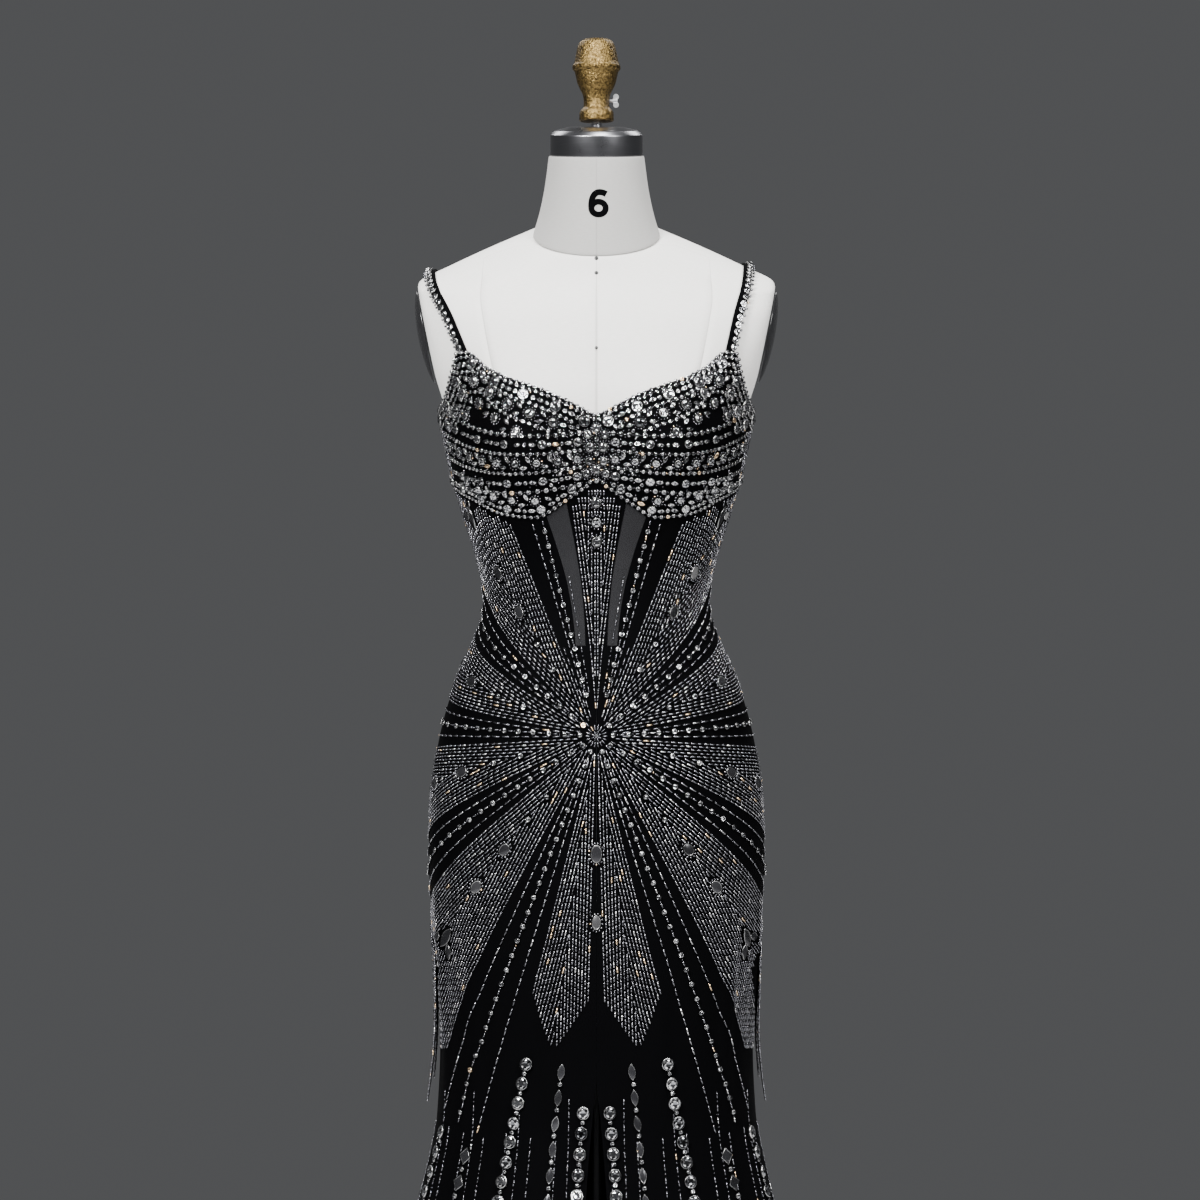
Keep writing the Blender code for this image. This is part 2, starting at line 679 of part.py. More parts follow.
def make_strap(word, side, shoulder):
    route = strap_route(side, shoulder)
    middle = [surface(FORM, angle, height) for angle, height in route]
    outward = [off_surface(FORM, angle, height, 1.0) - point for (angle, height), point in zip(route, middle)]
    last = len(route) - 1
    inner, outer = [], []
    for k, point in enumerate(middle):
        ahead = (middle[min(k + 1, last)] - middle[max(k - 1, 0)]).normalized()
        normal = (outward[k] - ahead * outward[k].dot(ahead)).normalized()
        across = ahead.cross(normal) * STRAP_WIDTH / 2
        if k in (0, last):  # an end is cut level, to meet the edge it is sewn to
            across -= ahead * across.z / ahead.z
        inner.append([point + normal * EASE - across, point + normal * EASE + across])
        top = EASE + STRAP_THICKNESS
        outer.append([point + normal * top - across, point + normal * top + across])
    return wall(f"strap_{word}", inner, outer, "strap_band")


# ---------------------------------------------------------------- the skirt
def slit_edge(height, side):
    """The front edge's angle: at the centre seam, and below it along the open slit."""
    below = max(0.0, SLIT_TOP - height)
    open_by = max(SEAM / 2, SLIT_HALF_OPEN * (1 - math.exp(-below / SLIT_REACH)))
    return shifted(0.0, height, side * open_by)


def skirt_places(word, side):
    top, hem = WAIST_SEAM - SEAM / 2, HEM - WAIST
    grid = []
    for share in np.linspace(0, 1, SKIRT_ROWS + 1) ** SKIRT_ROW_GROWTH:
        height = top + (hem - top) * share
        if word == "front":
            start = slit_edge(height, side)
            end = shifted(side * 90.0, height, -side * SEAM / 2)
        else:
            start = shifted(side * 90.0, height, side * SEAM / 2)
            end = shifted(side * 180.0, height, -side * SEAM / 2)
        grid.append([(start + (end - start) * k / SKIRT_COLUMNS, height) for k in range(SKIRT_COLUMNS + 1)])
    return grid


def make_skirt():
    for word, side in (("left", -1), ("right", 1)):
        cloth(f"skirt_front_{word}", skirt_places("front", side))
        cloth(f"skirt_back_{word}", skirt_places("back", side))
        make_fringe(word, side)


def make_fringe(word, side):
    """The reach of the bead fringe that hangs in a point from the hip bands, off the cloth."""
    size = FRINGE
    grids = ([], [])
    for share in np.linspace(0, 1, size["rows"] + 1):
        height = size["top"] + (size["tip"] - size["top"]) * share
        half = size["half_angle"] + (size["tip_angle"] - size["half_angle"]) * share
        angles = [side * (90 + turn * half) for turn in (-1, -0.5, 0, 0.5, 1)]
        off = EASE + CLOTH + size["off"] + size["hang"] * share**1.5
        for grid, out in zip(grids, (off, off + size["thick"])):
            grid.append([off_surface(SKIRT, angle, height, out) for angle in angles])
    return wall(f"fringe_{word}", *grids, "glass_beads")


# ---------------------------------------------------------------- the zip
def zip_axis():
    """The pull's axis: its distance behind the pole's line and its height above the floor."""
    cloth_face = off_surface(FORM, 180, SLIDER["height"] + SLIDER["tall"] / 2, EASE + CLOTH).y
    behind = cloth_face + SEAT + SLIDER["deep"] + HOOK["reach"] / 2
    return behind, WAIST + SLIDER["height"]


def make_zip():
    behind, height = zip_axis()
    face = behind - HOOK["reach"] / 2
    shape = bmesh.new()
    half_width, half_tall = SLIDER["width"] / 2, SLIDER["tall"] / 2
    inside, outside = face - SLIDER["deep"], face
    box(shape, (-half_width, inside, height - half_tall), (half_width, outside, height + half_tall))
    slider = add_object("zip_slider", shape, "black_metal")
    hook = bmesh.new()
    half_width, half_tall = HOOK["width"] / 2, HOOK["tall"] / 2
    middle, outside = face - SLIDER["deep"] / 2, face + HOOK["reach"]
    box(hook, (-half_width, middle, height - half_tall), (half_width, outside, height + half_tall))
    boolean(slider, cutter("zip_hook", hook), "UNION")
    bore = bmesh.new()
    rod_along_x(bore, HOOK["bore"], -HOOK["width"], HOOK["width"], behind, height, sides=16)
    boolean(slider, cutter("zip_bore", bore), "DIFFERENCE")
    make_pull(behind, height)


def make_pull(behind, height):
    """The pull: a round bar in the slider's hook, two arms and a flat tab. Its origin is on the bar."""
    size = PULL
    shape = bmesh.new()
    rod_along_x(shape, size["bar"], -size["half_bar"], size["half_bar"], 0, 0)
    pull = add_object("zip_pull", shape, "black_metal", location=(0, behind, height))
    deep = size["arm_thick"] / 2
    for sign in (-1, 1):
        arm = bmesh.new()
        low, high = sorted((sign * size["arm_inside"], sign * size["arm_outside"]))
        box(arm, (low, -deep, -size["arm_length"]), (high, deep, size["bar"]))
        boolean(pull, placed(cutter(f"pull_arm_{sign}", arm), pull.location), "UNION")
    tab = bmesh.new()
    half_width, deep = size["tab_width"] / 2, size["tab_thick"] / 2
    box(tab, (-half_width, -deep, -size["tab_length"]), (half_width, deep, -size["tab_top"]))
    boolean(pull, placed(cutter("pull_tab", tab), pull.location), "UNION")


# ---------------------------------------------------------------- the whole
clear_scene()
PARTS = collection("evening_gown_on_dress_form")
CUTTERS = collection("cutters")
QUARTER_TURN = Matrix.Rotation(math.pi / 2, 3, "Y")
FACE_FORWARD = Matrix.Rotation(math.pi / 2, 3, "X")
make_stand()
make_form()
make_bodice()
for strap_word, strap in STRAPS.items():
    make_strap(strap_word, strap["side"], strap["shoulder"])
make_skirt()
make_zip()
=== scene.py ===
"""The looks of an evening gown on its dress form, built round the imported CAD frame.

Metres, +Z up, the front faces -Y. The gown's cloth follows the same figure as its solids: a place
on it is an angle round the figure, in degrees from the front centre, and a height from the waist.
The beadwork is laid out on the unrolled cloth, as an arc length from the centre line and a height.
It is worked out for one quarter of the gown and sewn on all four.
"""

import math

import bmesh
import bpy
import numpy as np
from mathutils import Matrix, Vector


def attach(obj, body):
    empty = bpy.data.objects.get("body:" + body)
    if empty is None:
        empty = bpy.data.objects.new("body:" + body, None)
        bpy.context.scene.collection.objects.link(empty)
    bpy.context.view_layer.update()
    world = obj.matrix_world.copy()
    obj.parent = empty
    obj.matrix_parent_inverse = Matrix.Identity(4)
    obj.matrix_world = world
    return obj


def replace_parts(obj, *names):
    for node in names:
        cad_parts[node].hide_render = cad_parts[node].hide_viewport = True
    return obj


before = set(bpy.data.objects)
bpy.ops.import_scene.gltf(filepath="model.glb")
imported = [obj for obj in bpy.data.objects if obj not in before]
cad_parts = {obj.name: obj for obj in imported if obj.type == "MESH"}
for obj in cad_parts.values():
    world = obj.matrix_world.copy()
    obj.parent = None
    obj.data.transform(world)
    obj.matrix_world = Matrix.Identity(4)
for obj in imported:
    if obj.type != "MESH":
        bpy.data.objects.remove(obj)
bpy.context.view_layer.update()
BODY = "gown_and_form"
RANDOM = np.random.default_rng(6)

# ---------------------------------------------------------------- the figure, as in the CAD source
WAIST = 1.060
HEM = 0.020
SEAM = 0.0001
EASE = 0.0014
CLOTH = 0.0015
NET = 0.0010
FACE = EASE + CLOTH  # the cloth's outer face, off the figure
WAIST_SEAM = -0.042
SLIT_TOP = -0.488
SLIT_HALF_OPEN, SLIT_REACH = 0.022, 0.18
STRAP_WIDTH = 0.010
STRAP_THICKNESS = 0.0020

# Columns: height, half_width, front, back, roundness.
FORM_SECTIONS = (
    (-0.330, 0.158, 0.100, 0.112, 2.3),
    (-0.285, 0.1690, 0.108, 0.124, 2.3),
    (-0.240, 0.1725, 0.111, 0.131, 2.3),
    (-0.195, 0.1705, 0.112, 0.132, 2.3),
    (-0.140, 0.1620, 0.111, 0.124, 2.2),
    (-0.085, 0.1465, 0.106, 0.108, 2.2),
    (-0.045, 0.1290, 0.099, 0.096, 2.2),
    (-0.020, 0.1195, 0.096, 0.092, 2.15),
    (0.000, 0.1155, 0.094, 0.090, 2.15),
    (0.020, 0.1168, 0.0935, 0.0900, 2.15),
    (0.045, 0.1215, 0.094, 0.091, 2.2),
    (0.090, 0.1350, 0.099, 0.097, 2.3),
    (0.140, 0.1500, 0.106, 0.104, 2.4),
    (0.180, 0.1580, 0.110, 0.108, 2.4),
    (0.213, 0.1635, 0.110, 0.109, 2.35),
    (0.245, 0.1780, 0.105, 0.108, 2.3),
    (0.280, 0.1900, 0.096, 0.103, 2.25),
    (0.310, 0.1965, 0.084, 0.095, 2.15),
    (0.330, 0.1960, 0.075, 0.087, 2.05),
    (0.339, 0.1880, 0.071, 0.082, 2.0),
    (0.351, 0.1610, 0.066, 0.076, 1.95),
    (0.3675, 0.1210, 0.060, 0.068, 1.95),
    (0.387, 0.0670, 0.055, 0.060, 2.0),
)
SKIRT_LEAVES_FORM = -0.215
SHARED_HEIGHTS = (-0.155, -0.185, SKIRT_LEAVES_FORM)
SKIRT_SECTIONS = (
    (-0.260, 0.1730, 0.113, 0.132, 2.3),
    (-0.320, 0.1700, 0.115, 0.132, 2.3),
    (-0.390, 0.1645, 0.117, 0.130, 2.3),
    (-0.460, 0.1610, 0.119, 0.130, 2.3),
    (-0.530, 0.1640, 0.124, 0.136, 2.25),
    (-0.600, 0.1770, 0.136, 0.152, 2.2),
    (-0.680, 0.1990, 0.158, 0.178, 2.1),
    (-0.780, 0.2350, 0.196, 0.218, 2.05),
    (-0.900, 0.2830, 0.248, 0.272, 2.0),
    (-1.040, 0.3350, 0.306, 0.334, 2.0),
)
# Columns: angle, spread, depth, start.
FLUTES = (
    (24, 15, 0.020, -0.600),
    (57, 17, 0.026, -0.560),
    (93, 18, 0.023, -0.620),
    (128, 15, 0.027, -0.570),
    (162, 17, 0.024, -0.600),
    (-162, 17, 0.026, -0.580),
    (-129, 16, 0.023, -0.610),
    (-95, 17, 0.026, -0.570),
    (-59, 16, 0.024, -0.600),
    (-25, 16, 0.022, -0.570),
)
# Soft drag folds that the solids leave out. Columns: angle, spread, top, foot, depth.
FOLDS = (
    (-71, 8, -0.235, -0.560, 0.0030),
    (-47, 7, -0.300, -0.640, 0.0026),
    (-14, 6, -0.330, -0.560, 0.0020),
    (19, 7, -0.290, -0.610, 0.0024),
    (52, 7, -0.260, -0.600, 0.0028),
    (77, 8, -0.240, -0.520, 0.0030),
    (104, 8, -0.260, -0.600, 0.0032),
    (139, 9, -0.230, -0.560, 0.0034),
    (168, 7, -0.250, -0.520, 0.0024),
    (-166, 7, -0.240, -0.560, 0.0026),
    (-140, 9, -0.250, -0.600, 0.0032),
    (-108, 8, -0.240, -0.540, 0.0030),
)
BUST = {
    "across": 0.082, "height": 0.150, "out": 0.028, "wide": 0.055, "above": 0.080, "below": 0.046,
    "fade": 0.6,
}
ARM_PLANE = {"height": 0.193, "half_width": 0.161, "lean": 0.199}
NECK_DIP, DIP_START = 0.026, 0.290

# Edges of the pieces. Columns: angle, height.
NECKLINE = (
    (0.0, 0.194), (6.3, 0.206), (16.1, 0.2195), (26.5, 0.230), (35.5, 0.2436), (42.6, 0.2600),
    (47.9, 0.2600), (53.3, 0.2436), (63.7, 0.2226), (76.3, 0.2080), (90.0, 0.2030),
)
UNDERBUST = ((0, 0.124), (9.8, 0.105), (24, 0.088), (40, 0.092), (60, 0.108), (90, 0.126))
BACK_TOP = (
    (90, 0.203), (110, 0.190), (127, 0.175), (133, 0.182), (140, 0.182), (147, 0.167), (180, 0.125)
)
# Columns: angle at the under-bust seam, angle at the waist seam.
CENTRE_FRONT = ((-9.8, -3.9), (9.8, 3.9))
SHEER_FRONT = ((9.8, 3.9), (18.8, 7.9))
SIDE_FRONT = (
    (18.8, 7.9), (26.5, 18), (35.5, 29), (42.6, 38), (47.9, 44), (53.3, 50), (63.7, 62), (76.3, 76),
    (90, 90),
)
SIDES = {"left": -1, "right": 1}
STRAP_SHOULDERS = {"left": 0.173, "right": 0.158}  # how far out each strap crosses the shoulder
STRAP_AT_CUP = {"across": 0.1365, "height": 0.2600}
STRAP_AT_BACK = {"across": 0.1155, "height": 0.1820}
STRAP_CREST = {"low": 0.330, "high": 0.387, "step": 0.0001, "inside": 0.0006}
FRINGE = {"top": -0.330, "tip": -0.525, "half_angle": 17.0, "hang": 0.0095, "thick": 0.0030}
NECK_TOP, NECK_TOP_RADIUS, NECK_TIP = 0.471, 0.050, 0.14
NECK_RINGS = ((0.0, 1.0), (0.12, 0.80), (0.35, 0.50), (0.65, 0.22), (1.0, 0.0))


class Sections:
    """Rows of a table that are passed through smoothly, without overshoot."""

    def __init__(self, rows):
        table = np.array(sorted(rows), dtype=float)
        self.heights, self.values = table[:, 0], table[:, 1:]
        rises = np.diff(self.values, axis=0) / np.diff(self.heights)[:, None]
        before, after = rises[:-1], rises[1:]
        same_way = before * after > 0
        total = np.where(same_way, before + after, 1.0)
        middle = np.where(same_way, 2 * before * after / total, 0.0)
        self.slopes = np.vstack((rises[:1], middle, rises[-1:]))

    def at(self, height):
        """The table's values at heights, with the columns first."""
        height = np.asarray(height, dtype=float)
        row = np.clip(np.searchsorted(self.heights, height) - 1, 0, len(self.heights) - 2)
        step = (self.heights[row + 1] - self.heights[row])[..., None]
        t = (height[..., None] - self.heights[row][..., None]) / step
        rise = t * t * (3 - 2 * t)
        values = self.values[row] * (1 - rise) + self.values[row + 1] * rise
        values = values + self.slopes[row] * t * (1 - t) ** 2 * step
        values = values + self.slopes[row + 1] * t * t * (t - 1) * step
        return np.moveaxis(values, -1, 0)


FORM = Sections(FORM_SECTIONS)
SKIRT = Sections([(height, *FORM.at(height)) for height in SHARED_HEIGHTS] + list(SKIRT_SECTIONS))
NECKLINE_CURVE, UNDERBUST_CURVE, BACK_CURVE = (Sections(t) for t in (NECKLINE, UNDERBUST, BACK_TOP))
NECK_FLARE = Sections(NECK_RINGS)


def ramp(value, start, end):
    """A soft step from 0 at start to 1 at end."""
    t = np.clip((np.asarray(value, dtype=float) - start) / (end - start), 0, 1)
    return t * t * (3 - 2 * t)


def hump(angle, centre, spread):
    """A soft ridge that is 1 at its centre and 0 a spread away from it."""
    away = np.abs((angle - centre + 180) % 360 - 180) / spread
    return np.where(away < 1, 0.5 + 0.5 * np.cos(np.pi * np.minimum(away, 1)), 0)


def relief(angle, height):
    """How far the skirt's flutes and folds stand out."""
    out = np.zeros(np.broadcast(angle, height).shape)
    for centre, spread, depth, start in FLUTES:
        out = out + depth * hump(angle, centre, spread) * ramp(-height, -start, WAIST - HEM)
    for centre, spread, top, foot, depth in FOLDS:
        middle = (top + foot) / 2
        rise = ramp(-height, -top, -middle) * (1 - ramp(-height, -middle, -foot))
        out = out + depth * hump(angle, centre, spread) * rise
    return out


def figure(angle, height, sections=None):
    """Points of the figure, or of a table of its sections, at angles and heights."""
    angle, height = np.broadcast_arrays(np.asarray(angle, float), np.asarray(height, float))
    if sections is None:
        level = np.where(height < SKIRT_LEAVES_FORM, SKIRT.at(height), FORM.at(height))
    else:
        level = sections.at(height)
    half_width, front, back, roundness = level
    sine, cosine = np.sin(np.radians(angle)), np.cos(np.radians(angle))
    power = 2 / roundness
    x = half_width * np.sign(sine) * np.abs(sine) ** power
    y = -np.where(cosine > 0, front, back) * np.sign(cosine) * np.abs(cosine) ** power
    tall = np.where(height > BUST["height"], BUST["above"], BUST["below"])
    aside = (np.abs(x) - BUST["across"]) / BUST["wide"]
    bust = BUST["out"] * np.exp(-(aside**2) - ((height - BUST["height"]) / tall) ** 2)
    y = y - bust * np.maximum(cosine, 0) ** BUST["fade"]
    grown = 1 + (relief(angle, height) if sections is None else 0) / np.hypot(x, y)
    dip = NECK_DIP * ramp(height, DIP_START, FORM_SECTIONS[-1][0]) * y / FORM_SECTIONS[-1][2]
    return np.stack((x * grown, y * grown, WAIST + height + dip), axis=-1)


def outward(angle, height, sections=None):
    turn, rise = 0.5, 0.002
    along = figure(angle + turn, height, sections) - figure(angle - turn, height, sections)
    up = figure(angle, height + rise, sections) - figure(angle, height - rise, sections)
    return unit(np.cross(along, up))


def unit(vectors):
    return vectors / np.maximum(np.linalg.norm(vectors, axis=-1, keepdims=True), 1e-12)


def lifted(angle, height, out, sections=None):
    """Points that stand out from the figure along its normal."""
    out = np.asarray(out, dtype=float)[..., None]
    return figure(angle, height, sections) + outward(angle, height, sections) * out


def angle_across(across, height, back=False):
    """The angle of a form point at a distance from the middle plane."""
    half_width, _, _, roundness = FORM.at(height)
    sine = np.minimum(1.0, np.abs(across) / half_width) ** (roundness / 2)
    angle = np.degrees(np.arcsin(sine))
    return np.where(back, 180 - angle, angle) * np.where(across < 0, -1, 1)


# ---------------------------------------------------------------- the unrolled cloth
class Unrolled:
    """A quarter of the cloth laid flat: how the angle grows with the arc length at any height.

    The flutes and folds differ from side to side, so the smooth sections are measured.
    """

    RISE, TOP = 0.005, 0.270  # the table's step in height, and how high it reaches
    COLUMNS_A_DEGREE, SHARES = 2, 200

    def __init__(self, back=False):
        self.heights = np.arange(HEM - WAIST, self.TOP, self.RISE)
        angles = np.linspace(0, 90, 90 * self.COLUMNS_A_DEGREE + 1)
        turns = 180 - angles if back else angles
        points = figure(turns, self.heights[:, None])[..., :2]
        away = np.linalg.norm(points, axis=-1, keepdims=True)
        points = points * (1 - relief(turns, self.heights[:, None])[..., None] / away)
        steps = np.linalg.norm(np.diff(points, axis=1), axis=-1)
        self.arcs = np.concatenate((np.zeros((len(self.heights), 1)), np.cumsum(steps, axis=1)), axis=1)
        shares = np.linspace(0, 1, self.SHARES + 1)
        self.turns = np.stack([np.interp(shares * arcs[-1], arcs, angles) for arcs in self.arcs])

    def look_up(self, table, height, column):
        """A table's values between its rows and columns."""
        row = np.clip((height - self.heights[0]) / self.RISE, 0, table.shape[0] - 1.001)
        column = np.clip(column, 0, table.shape[1] - 1.001)
        i, j = row.astype(int), column.astype(int)
        u, v = row - i, column - j
        near = table[i, j] * (1 - v) + table[i, j + 1] * v
        far = table[i + 1, j] * (1 - v) + table[i + 1, j + 1] * v
        return near * (1 - u) + far * u

    def quarter(self, height):
        """The arc length from the centre to the side seam."""
        return np.interp(height, self.heights, self.arcs[:, -1])

    def arc(self, angle, height):
        """The arc length from the centre to an angle."""
        column = np.asarray(angle) * self.COLUMNS_A_DEGREE
        return self.look_up(self.arcs, *np.broadcast_arrays(height, column))

    def angle(self, share, height):
        """The angle at a share of the way to the side seam."""
        return self.look_up(self.turns, *np.broadcast_arrays(height, np.asarray(share) * self.SHARES))


FRONT_PLAN, BACK_PLAN = Unrolled(), Unrolled(back=True)


# ---------------------------------------------------------------- finishes
class Finish:
    """A Principled material and short calls for the nodes that feed it."""

    def __init__(self, name, **sockets):
        self.material = bpy.data.materials.new(name)
        self.material.use_nodes = True
        self.nodes = self.material.node_tree.nodes
        self.links = self.material.node_tree.links
        self.shader = self.nodes["Principled BSDF"]
        for socket, value in sockets.items():
            self.shader.inputs[socket.replace("_", " ")].default_value = value

    def node(self, kind, settings=None, **inputs):
        made = self.nodes.new("ShaderNode" + kind)
        for key, value in (settings or {}).items():
            setattr(made, key, value)
        for key, value in inputs.items():
            socket = made.inputs[int(key[1:]) if key[0] == "i" and key[1:].isdigit() else key]
            if isinstance(value, bpy.types.NodeSocket):
                self.links.new(value, socket)
            else:
                socket.default_value = value
        return made

    def place(self, scale=(1, 1, 1), turn=0.0):
        """Places in the object's own coordinates."""
        source = self.node("TexCoord").outputs["Object"]
        return self.scaled(source, scale, turn)

    def cloth_place(self, scale=(1, 1, 1), turn=0.0):
        """Places on the unrolled cloth."""
        source = self.node("Attribute", {"attribute_name": "cloth_place"}).outputs["Vector"]
        return self.scaled(source, scale, turn)

    def scaled(self, source, scale, turn):
        rotation = (0, 0, turn)
        return self.node("Mapping", Vector=source, Scale=scale, Rotation=rotation).outputs[0]

    def noise(self, vector, scale, detail=3.0, roughness=0.55):
        made = self.node("TexNoise", Vector=vector, Scale=scale, Detail=detail, Roughness=roughness)
        return made.outputs[0]

    def wave(self, vector, scale, distortion=0.0, direction="X"):
        settings = {"bands_direction": direction}
        made = self.node("TexWave", settings, Vector=vector, Scale=scale, Distortion=distortion)
        return made.outputs[1]

    def ramp(self, value, *stops):
        """A colour ramp with (position, colour) stops."""
        made = self.node("ValToRGB", Fac=value)
        band = made.color_ramp
        while len(band.elements) < len(stops):
            band.elements.new(0.5)
        for element, (position, colour) in zip(band.elements, stops):
            element.position = position
            element.color = (*colour, 1)
        return made.outputs[0]

    def spread(self, value, low, high):
        """A value from 0 to 1 spread between two numbers."""
        return self.node("MapRange", Value=value, **{"To Min": low, "To Max": high}).outputs[0]

    def math(self, operation, first, second):
        return self.node("Math", {"operation": operation}, i0=first, i1=second).outputs[0]

    def mixed(self, share, first, second, blend="MIX"):
        made = self.node("Mix", {"data_type": "RGBA", "blend_type": blend}, i0=share)
        for socket, value in ((made.inputs[6], first), (made.inputs[7], second)):
            if isinstance(value, bpy.types.NodeSocket):
                self.links.new(value, socket)
            else:
                socket.default_value = (*value, 1)
        return made.outputs[2]

    def bump(self, height, strength, distance):
        made = self.node("Bump", Height=height, Strength=strength, Distance=distance)
        self.links.new(made.outputs[0], self.shader.inputs["Normal"])

    def feed(self, socket, output):
        self.links.new(output, self.shader.inputs[socket])
        return self


def tone_of(finish):
    return finish.node("Attribute", {"attribute_name": "tone"}).outputs["Fac"]


LINEN_THREADS, NET_THREADS = 520.0, 260.0  # scales of the weaves' waves
# Tones of the net's gaps and of its threads.
NET_TONES = {
    "lined": ((0.0003, 0.0003, 0.0004), (0.0016, 0.0016, 0.0020)),
    "sheer": ((0.010, 0.010, 0.011), (0.030, 0.030, 0.032)),
}
# The colours that beads of the two lightest tones have: silver, and a bright amber that is a painted glint,
# standing for warm sparkles.
SILVER, AMBER_GLINT = (0.92, 0.91, 0.90), (0.98, 0.72, 0.46)
SILVER_TONE, AMBER_GLINT_TONE = 0.88, 1.0


def linen_finish(name, fade):
    """Off-white linen, tightly stretched: a plain weave with uneven slubs. A fade below 1 darkens it all
    over as painted shade.
    """
    made = Finish(name, Roughness=0.86, Sheen_Weight=0.25, Sheen_Roughness=0.5)
    made.shader.inputs["Specular IOR Level"].default_value = 0.3
    place = made.cloth_place()
    warp = made.wave(place, LINEN_THREADS, 0.6, "X")
    weft = made.wave(place, LINEN_THREADS, 0.6, "Y")
    slub = made.noise(made.cloth_place((1, 9, 1)), 160.0, 2.0)
    cloud = made.noise(place, 7.0, 4.0)
    weave = made.math("ADD", made.math("MULTIPLY", warp, weft), slub)
    # The fade scales both colours down; below 1 it is painted shade.
    light = [fade * share for share in (0.88, 0.862, 0.83)]
    clean = [fade * share for share in (0.94, 0.925, 0.895)]
    colour = made.ramp(cloud, (0.3, light), (0.7, clean))
    shade = made.ramp(slub, (0.35, (0.93, 0.93, 0.92)), (0.65, (1, 1, 1)))
    woven = made.mixed(1.0, colour, shade, "MULTIPLY")
    seam = made.math("MULTIPLY", tone_of(made), 0.45)
    made.feed("Base Color", made.mixed(seam, woven, (0.20, 0.19, 0.18)))
    made.feed("Roughness", made.spread(cloud, 0.78, 0.92))
    made.bump(weave, 0.25, 0.0002)
    return made.material


def net_finish(name, alpha=1.0):
    """Black net: a mesh of fine crossed threads, over a satin lining where it isn't sheer."""
    made = Finish(name, Roughness=0.75, Sheen_Weight=0.004, Sheen_Roughness=0.4, Alpha=alpha)
    made.shader.inputs["Specular IOR Level"].default_value = 0.02
    one, other = (made.wave(made.cloth_place(turn=math.radians(turn)), NET_THREADS) for turn in (60, -60))
    third = made.wave(made.cloth_place(), NET_THREADS, direction="Y")
    mesh = made.math("MAXIMUM", made.math("MAXIMUM", one, other), third)
    cloud = made.noise(made.cloth_place((1, 0.35, 1)), 22.0, 3.0)
    dark, light = NET_TONES["lined" if alpha == 1 else "sheer"]
    made.feed("Base Color", made.mixed(made.spread(mesh, 0, 0.75), dark, light))
    made.feed("Roughness", made.spread(cloud, 0.60, 0.85))
    made.bump(made.math("ADD", mesh, made.math("MULTIPLY", cloud, 3.0)), 0.35, 0.0003)
    return made.material


def bead_finish(name, dark, light, roughness, metallic, coat=0.0):
    """Glass or metal beads whose tone differs from bead to bead and from facet to facet; the stones' facet
    tones are painted reflection and shade.
    """
    made = Finish(name, Metallic=metallic, Coat_Weight=coat, Coat_Roughness=0.05)
    stops = (0.0, dark), (0.55, light), (SILVER_TONE, SILVER), (AMBER_GLINT_TONE, AMBER_GLINT)
    made.feed("Base Color", made.ramp(tone_of(made), *stops))
    scratches = made.noise(made.place(), 900.0, 2.0)
    made.feed("Roughness", made.spread(scratches, roughness * 0.7, roughness * 1.4))
    return made.material


def gold_finish():
    """Antique gold with a fine hammered grain, darker in its hollows."""
    made = Finish("antique_gold_finish", Metallic=1.0)
    grain = made.noise(made.place(), 430.0, 3.0, 0.6)
    patch = made.noise(made.place(), 60.0, 3.0)
    colour = made.ramp(grain, (0.36, (0.050, 0.031, 0.010)), (0.64, (0.33, 0.225, 0.082)))
    made.feed("Base Color", made.mixed(made.spread(patch, 0.0, 0.35), colour, (0.11, 0.071, 0.027)))
    made.feed("Roughness", made.spread(grain, 0.46, 0.30))
    made.bump(grain, 0.9, 0.0015)
    return made.material


def brushed_finish(name, colour, roughness, streak=(14, 14, 900)):
    """Turned metal with fine streaks round it."""
    made = Finish(name, Metallic=1.0)
    streaks = made.noise(made.place(streak), 1.0, 4.0)
    wear = made.noise(made.place(), 35.0, 3.0)
    low = tuple(c * 0.75 for c in colour)
    made.feed("Base Color", made.mixed(made.spread(streaks, 0.1, 0.9), low, colour))
    made.feed("Roughness", made.spread(wear, roughness * 0.8, roughness * 1.3))
    made.bump(streaks, 0.12, 0.0002)
    return made.material


def lacquer_finish(name, colour, roughness, scale, depth):
    """Painted or cast metal with a fine grain."""
    made = Finish(name, Coat_Weight=0.3, Coat_Roughness=0.2)
    grain = made.noise(made.place(), scale, 4.0)
    lighter = tuple(min(1.0, c * 1.6 + 0.01) for c in colour)
    made.feed("Base Color", made.mixed(made.spread(grain, 0.0, 0.8), colour, lighter))
    made.feed("Roughness", made.spread(grain, roughness * 0.8, roughness * 1.25))
    made.bump(grain, 0.4, depth)
    return made.material


def floor_finish():
    made = Finish("floor_finish", Roughness=0.7)
    cloud = made.noise(made.place(), 0.8, 3.0)
    made.feed("Base Color", made.ramp(cloud, (0.3, (0.70, 0.70, 0.71)), (0.7, (0.73, 0.73, 0.735))))
    return made.material


LINEN = linen_finish("linen_finish", 1.0)
# The neck's linen is scaled down to 0.45 as painted shade, for the neck standing less lit than the torso.
SHADED_NECK_LINEN = linen_finish("neck_linen_finish", 0.45)
BLACK_NET = net_finish("beaded_net_finish")
SHEER_NET = net_finish("sheer_net_finish", alpha=0.84)
STRAP_BAND = net_finish("strap_band_finish")
BUGLE_GLASS = bead_finish("bugle_glass_finish", (0.015, 0.015, 0.018), (0.19, 0.19, 0.21), 0.16, 0.9, 0.5)
STONE_GLASS = bead_finish("stone_glass_finish", (0.008, 0.008, 0.010), (0.48, 0.49, 0.52), 0.08, 0.95, 0.6)
MIRROR_GLASS = bead_finish("mirror_finish", (0.003, 0.003, 0.004), (0.050, 0.050, 0.055), 0.24, 0.6, 0.1)
SETTING_METAL = bead_finish("setting_finish", (0.08, 0.08, 0.085), (0.40, 0.40, 0.40), 0.25, 1.0)
GOLD = gold_finish()
